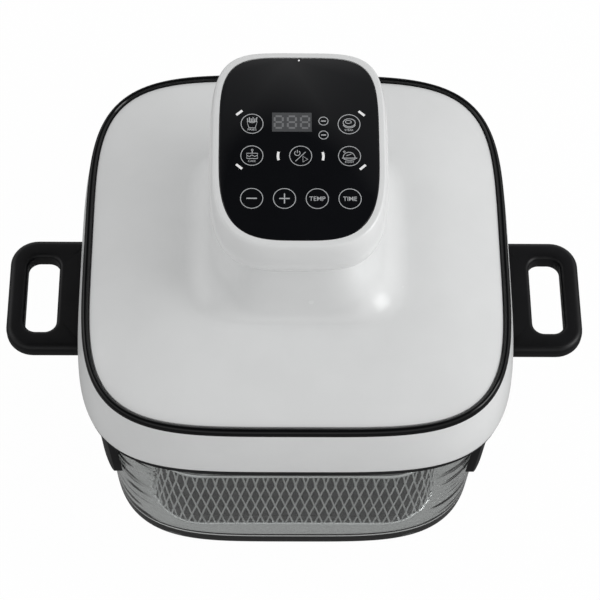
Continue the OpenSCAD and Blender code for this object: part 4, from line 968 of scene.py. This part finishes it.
def make_studio():
    """A white room with a dim ceiling, a paper floor and two softboxes."""
    scene = bpy.context.scene
    scene.view_settings.view_transform = "Standard"
    world = bpy.data.worlds.new("studio")
    scene.world = world
    world.use_nodes = True
    tree = world.node_tree
    tree.nodes.clear()
    ray = add(tree, "ShaderNodeLightPath")
    direction = add(tree, "ShaderNodeTexCoord").outputs["Generated"]
    height = add(tree, "ShaderNodeSeparateXYZ", {}, {"Vector": direction}).outputs["Z"]
    # White round the horizon, darker overhead, as the dim ceiling shows in gloss
    ceiling = add(tree, "ShaderNodeMapRange", {
        "From Min": 0.35, "From Max": 0.85, "To Min": 0.8, "To Max": 0.03}, {"Value": height})
    mirrored = add(tree, "ShaderNodeBackground", {"Color": WHITE}, {"Strength": ceiling.outputs["Result"]})
    plain = add(tree, "ShaderNodeBackground", {"Color": WHITE, "Strength": 0.62})
    bright = add(tree, "ShaderNodeBackground", {"Color": WHITE, "Strength": 1.0})
    glossy = add(tree, "ShaderNodeMixShader", {}, {
        0: ray.outputs["Is Glossy Ray"], 1: plain.outputs[0], 2: mirrored.outputs[0]})
    clear = add(tree, "ShaderNodeMath", {"operation": "MAXIMUM"}, {
        0: ray.outputs["Is Camera Ray"], 1: ray.outputs["Is Transmission Ray"]})
    both = add(tree, "ShaderNodeMixShader", {}, {
        0: clear.outputs[0], 1: glossy.outputs[0], 2: bright.outputs[0]})
    add(tree, "ShaderNodeOutputWorld", {}, {"Surface": both.outputs[0]})

    corners = [(x, y, FLOOR_Z) for x, y in ((-6000, -6000), (6000, -6000), (6000, 6000), (-6000, 6000))]
    floor = new_piece("floor", corners, [(0, 1, 2, 3)], make_floor_paper())
    softbox("right_softbox", (1500, -350, 1020), (0, 0, 230), 12.5)
    softbox("left_fill", (-1300, 300, 1100), (0, 0, 200), 2.2)


def make_floor_paper():
    """Studio paper: white to the camera with a trace of shadow; in gloss and through glass a dim glow that
    is painted shade.
    """
    material, tree = new_material("white_studio_paper")
    ray = add(tree, "ShaderNodeLightPath")
    paper = add(tree, "ShaderNodeBsdfDiffuse", {"Color": linear("#F4F4F4")})
    last = paper
    # In gloss and through glass the paper is an even dim glow: painted shade for the oven's shadow on the
    # floor
    for kind, share, strength in (("Is Glossy Ray", 1.0, 0.16), ("Is Transmission Ray", 1.0, 0.5),
                                  ("Is Camera Ray", 0.98, 1.0)):
        part = add(tree, "ShaderNodeMath", {"operation": "MULTIPLY", 1: share}, {0: ray.outputs[kind]})
        glow = add(tree, "ShaderNodeEmission", {"Color": WHITE, "Strength": strength})
        last = add(tree, "ShaderNodeMixShader", {}, {
            0: part.outputs[0], 1: last.outputs[0], 2: glow.outputs[0]})
    finish_material(tree, last)
    return material


def softbox(name, place, target, power):
    """A square lamp, in watts, that faces its target."""
    data = bpy.data.lights.new(name, "AREA")
    data.shape, data.energy = "RECTANGLE", power
    data.size = data.size_y = SOFTBOX_SIZE * MM
    lamp = new_object(name, data)
    lamp.location = Vector(place) * MM
    lamp.rotation_euler = (Vector(target) - Vector(place)).to_track_quat("-Z", "Y").to_euler()


make_camera()
materials = make_materials()
make_studio()
make_bowl(materials["bowl_glass"])
make_carrier(materials["nylon"])
make_handle("loop_handle_right", 1, materials["nylon"])
make_handle("loop_handle_left", -1, materials["nylon"])
make_basket(materials["tinned_mesh"], materials["ptfe"])
make_mesh_wall(materials["tinned_mesh"])
make_band(materials["white_abs"])
make_trim(materials["piano_abs"])
make_lid_top(materials["white_abs"])
make_pod(materials["white_abs"])
make_panel(materials["panel_glass"])
make_chassis(materials["black_abs"])
make_print(materials["ink"], materials["bright_ink"], materials["display"], materials["segment"])
make_key_words(materials["ink"])
finish_cad_nodes(materials)
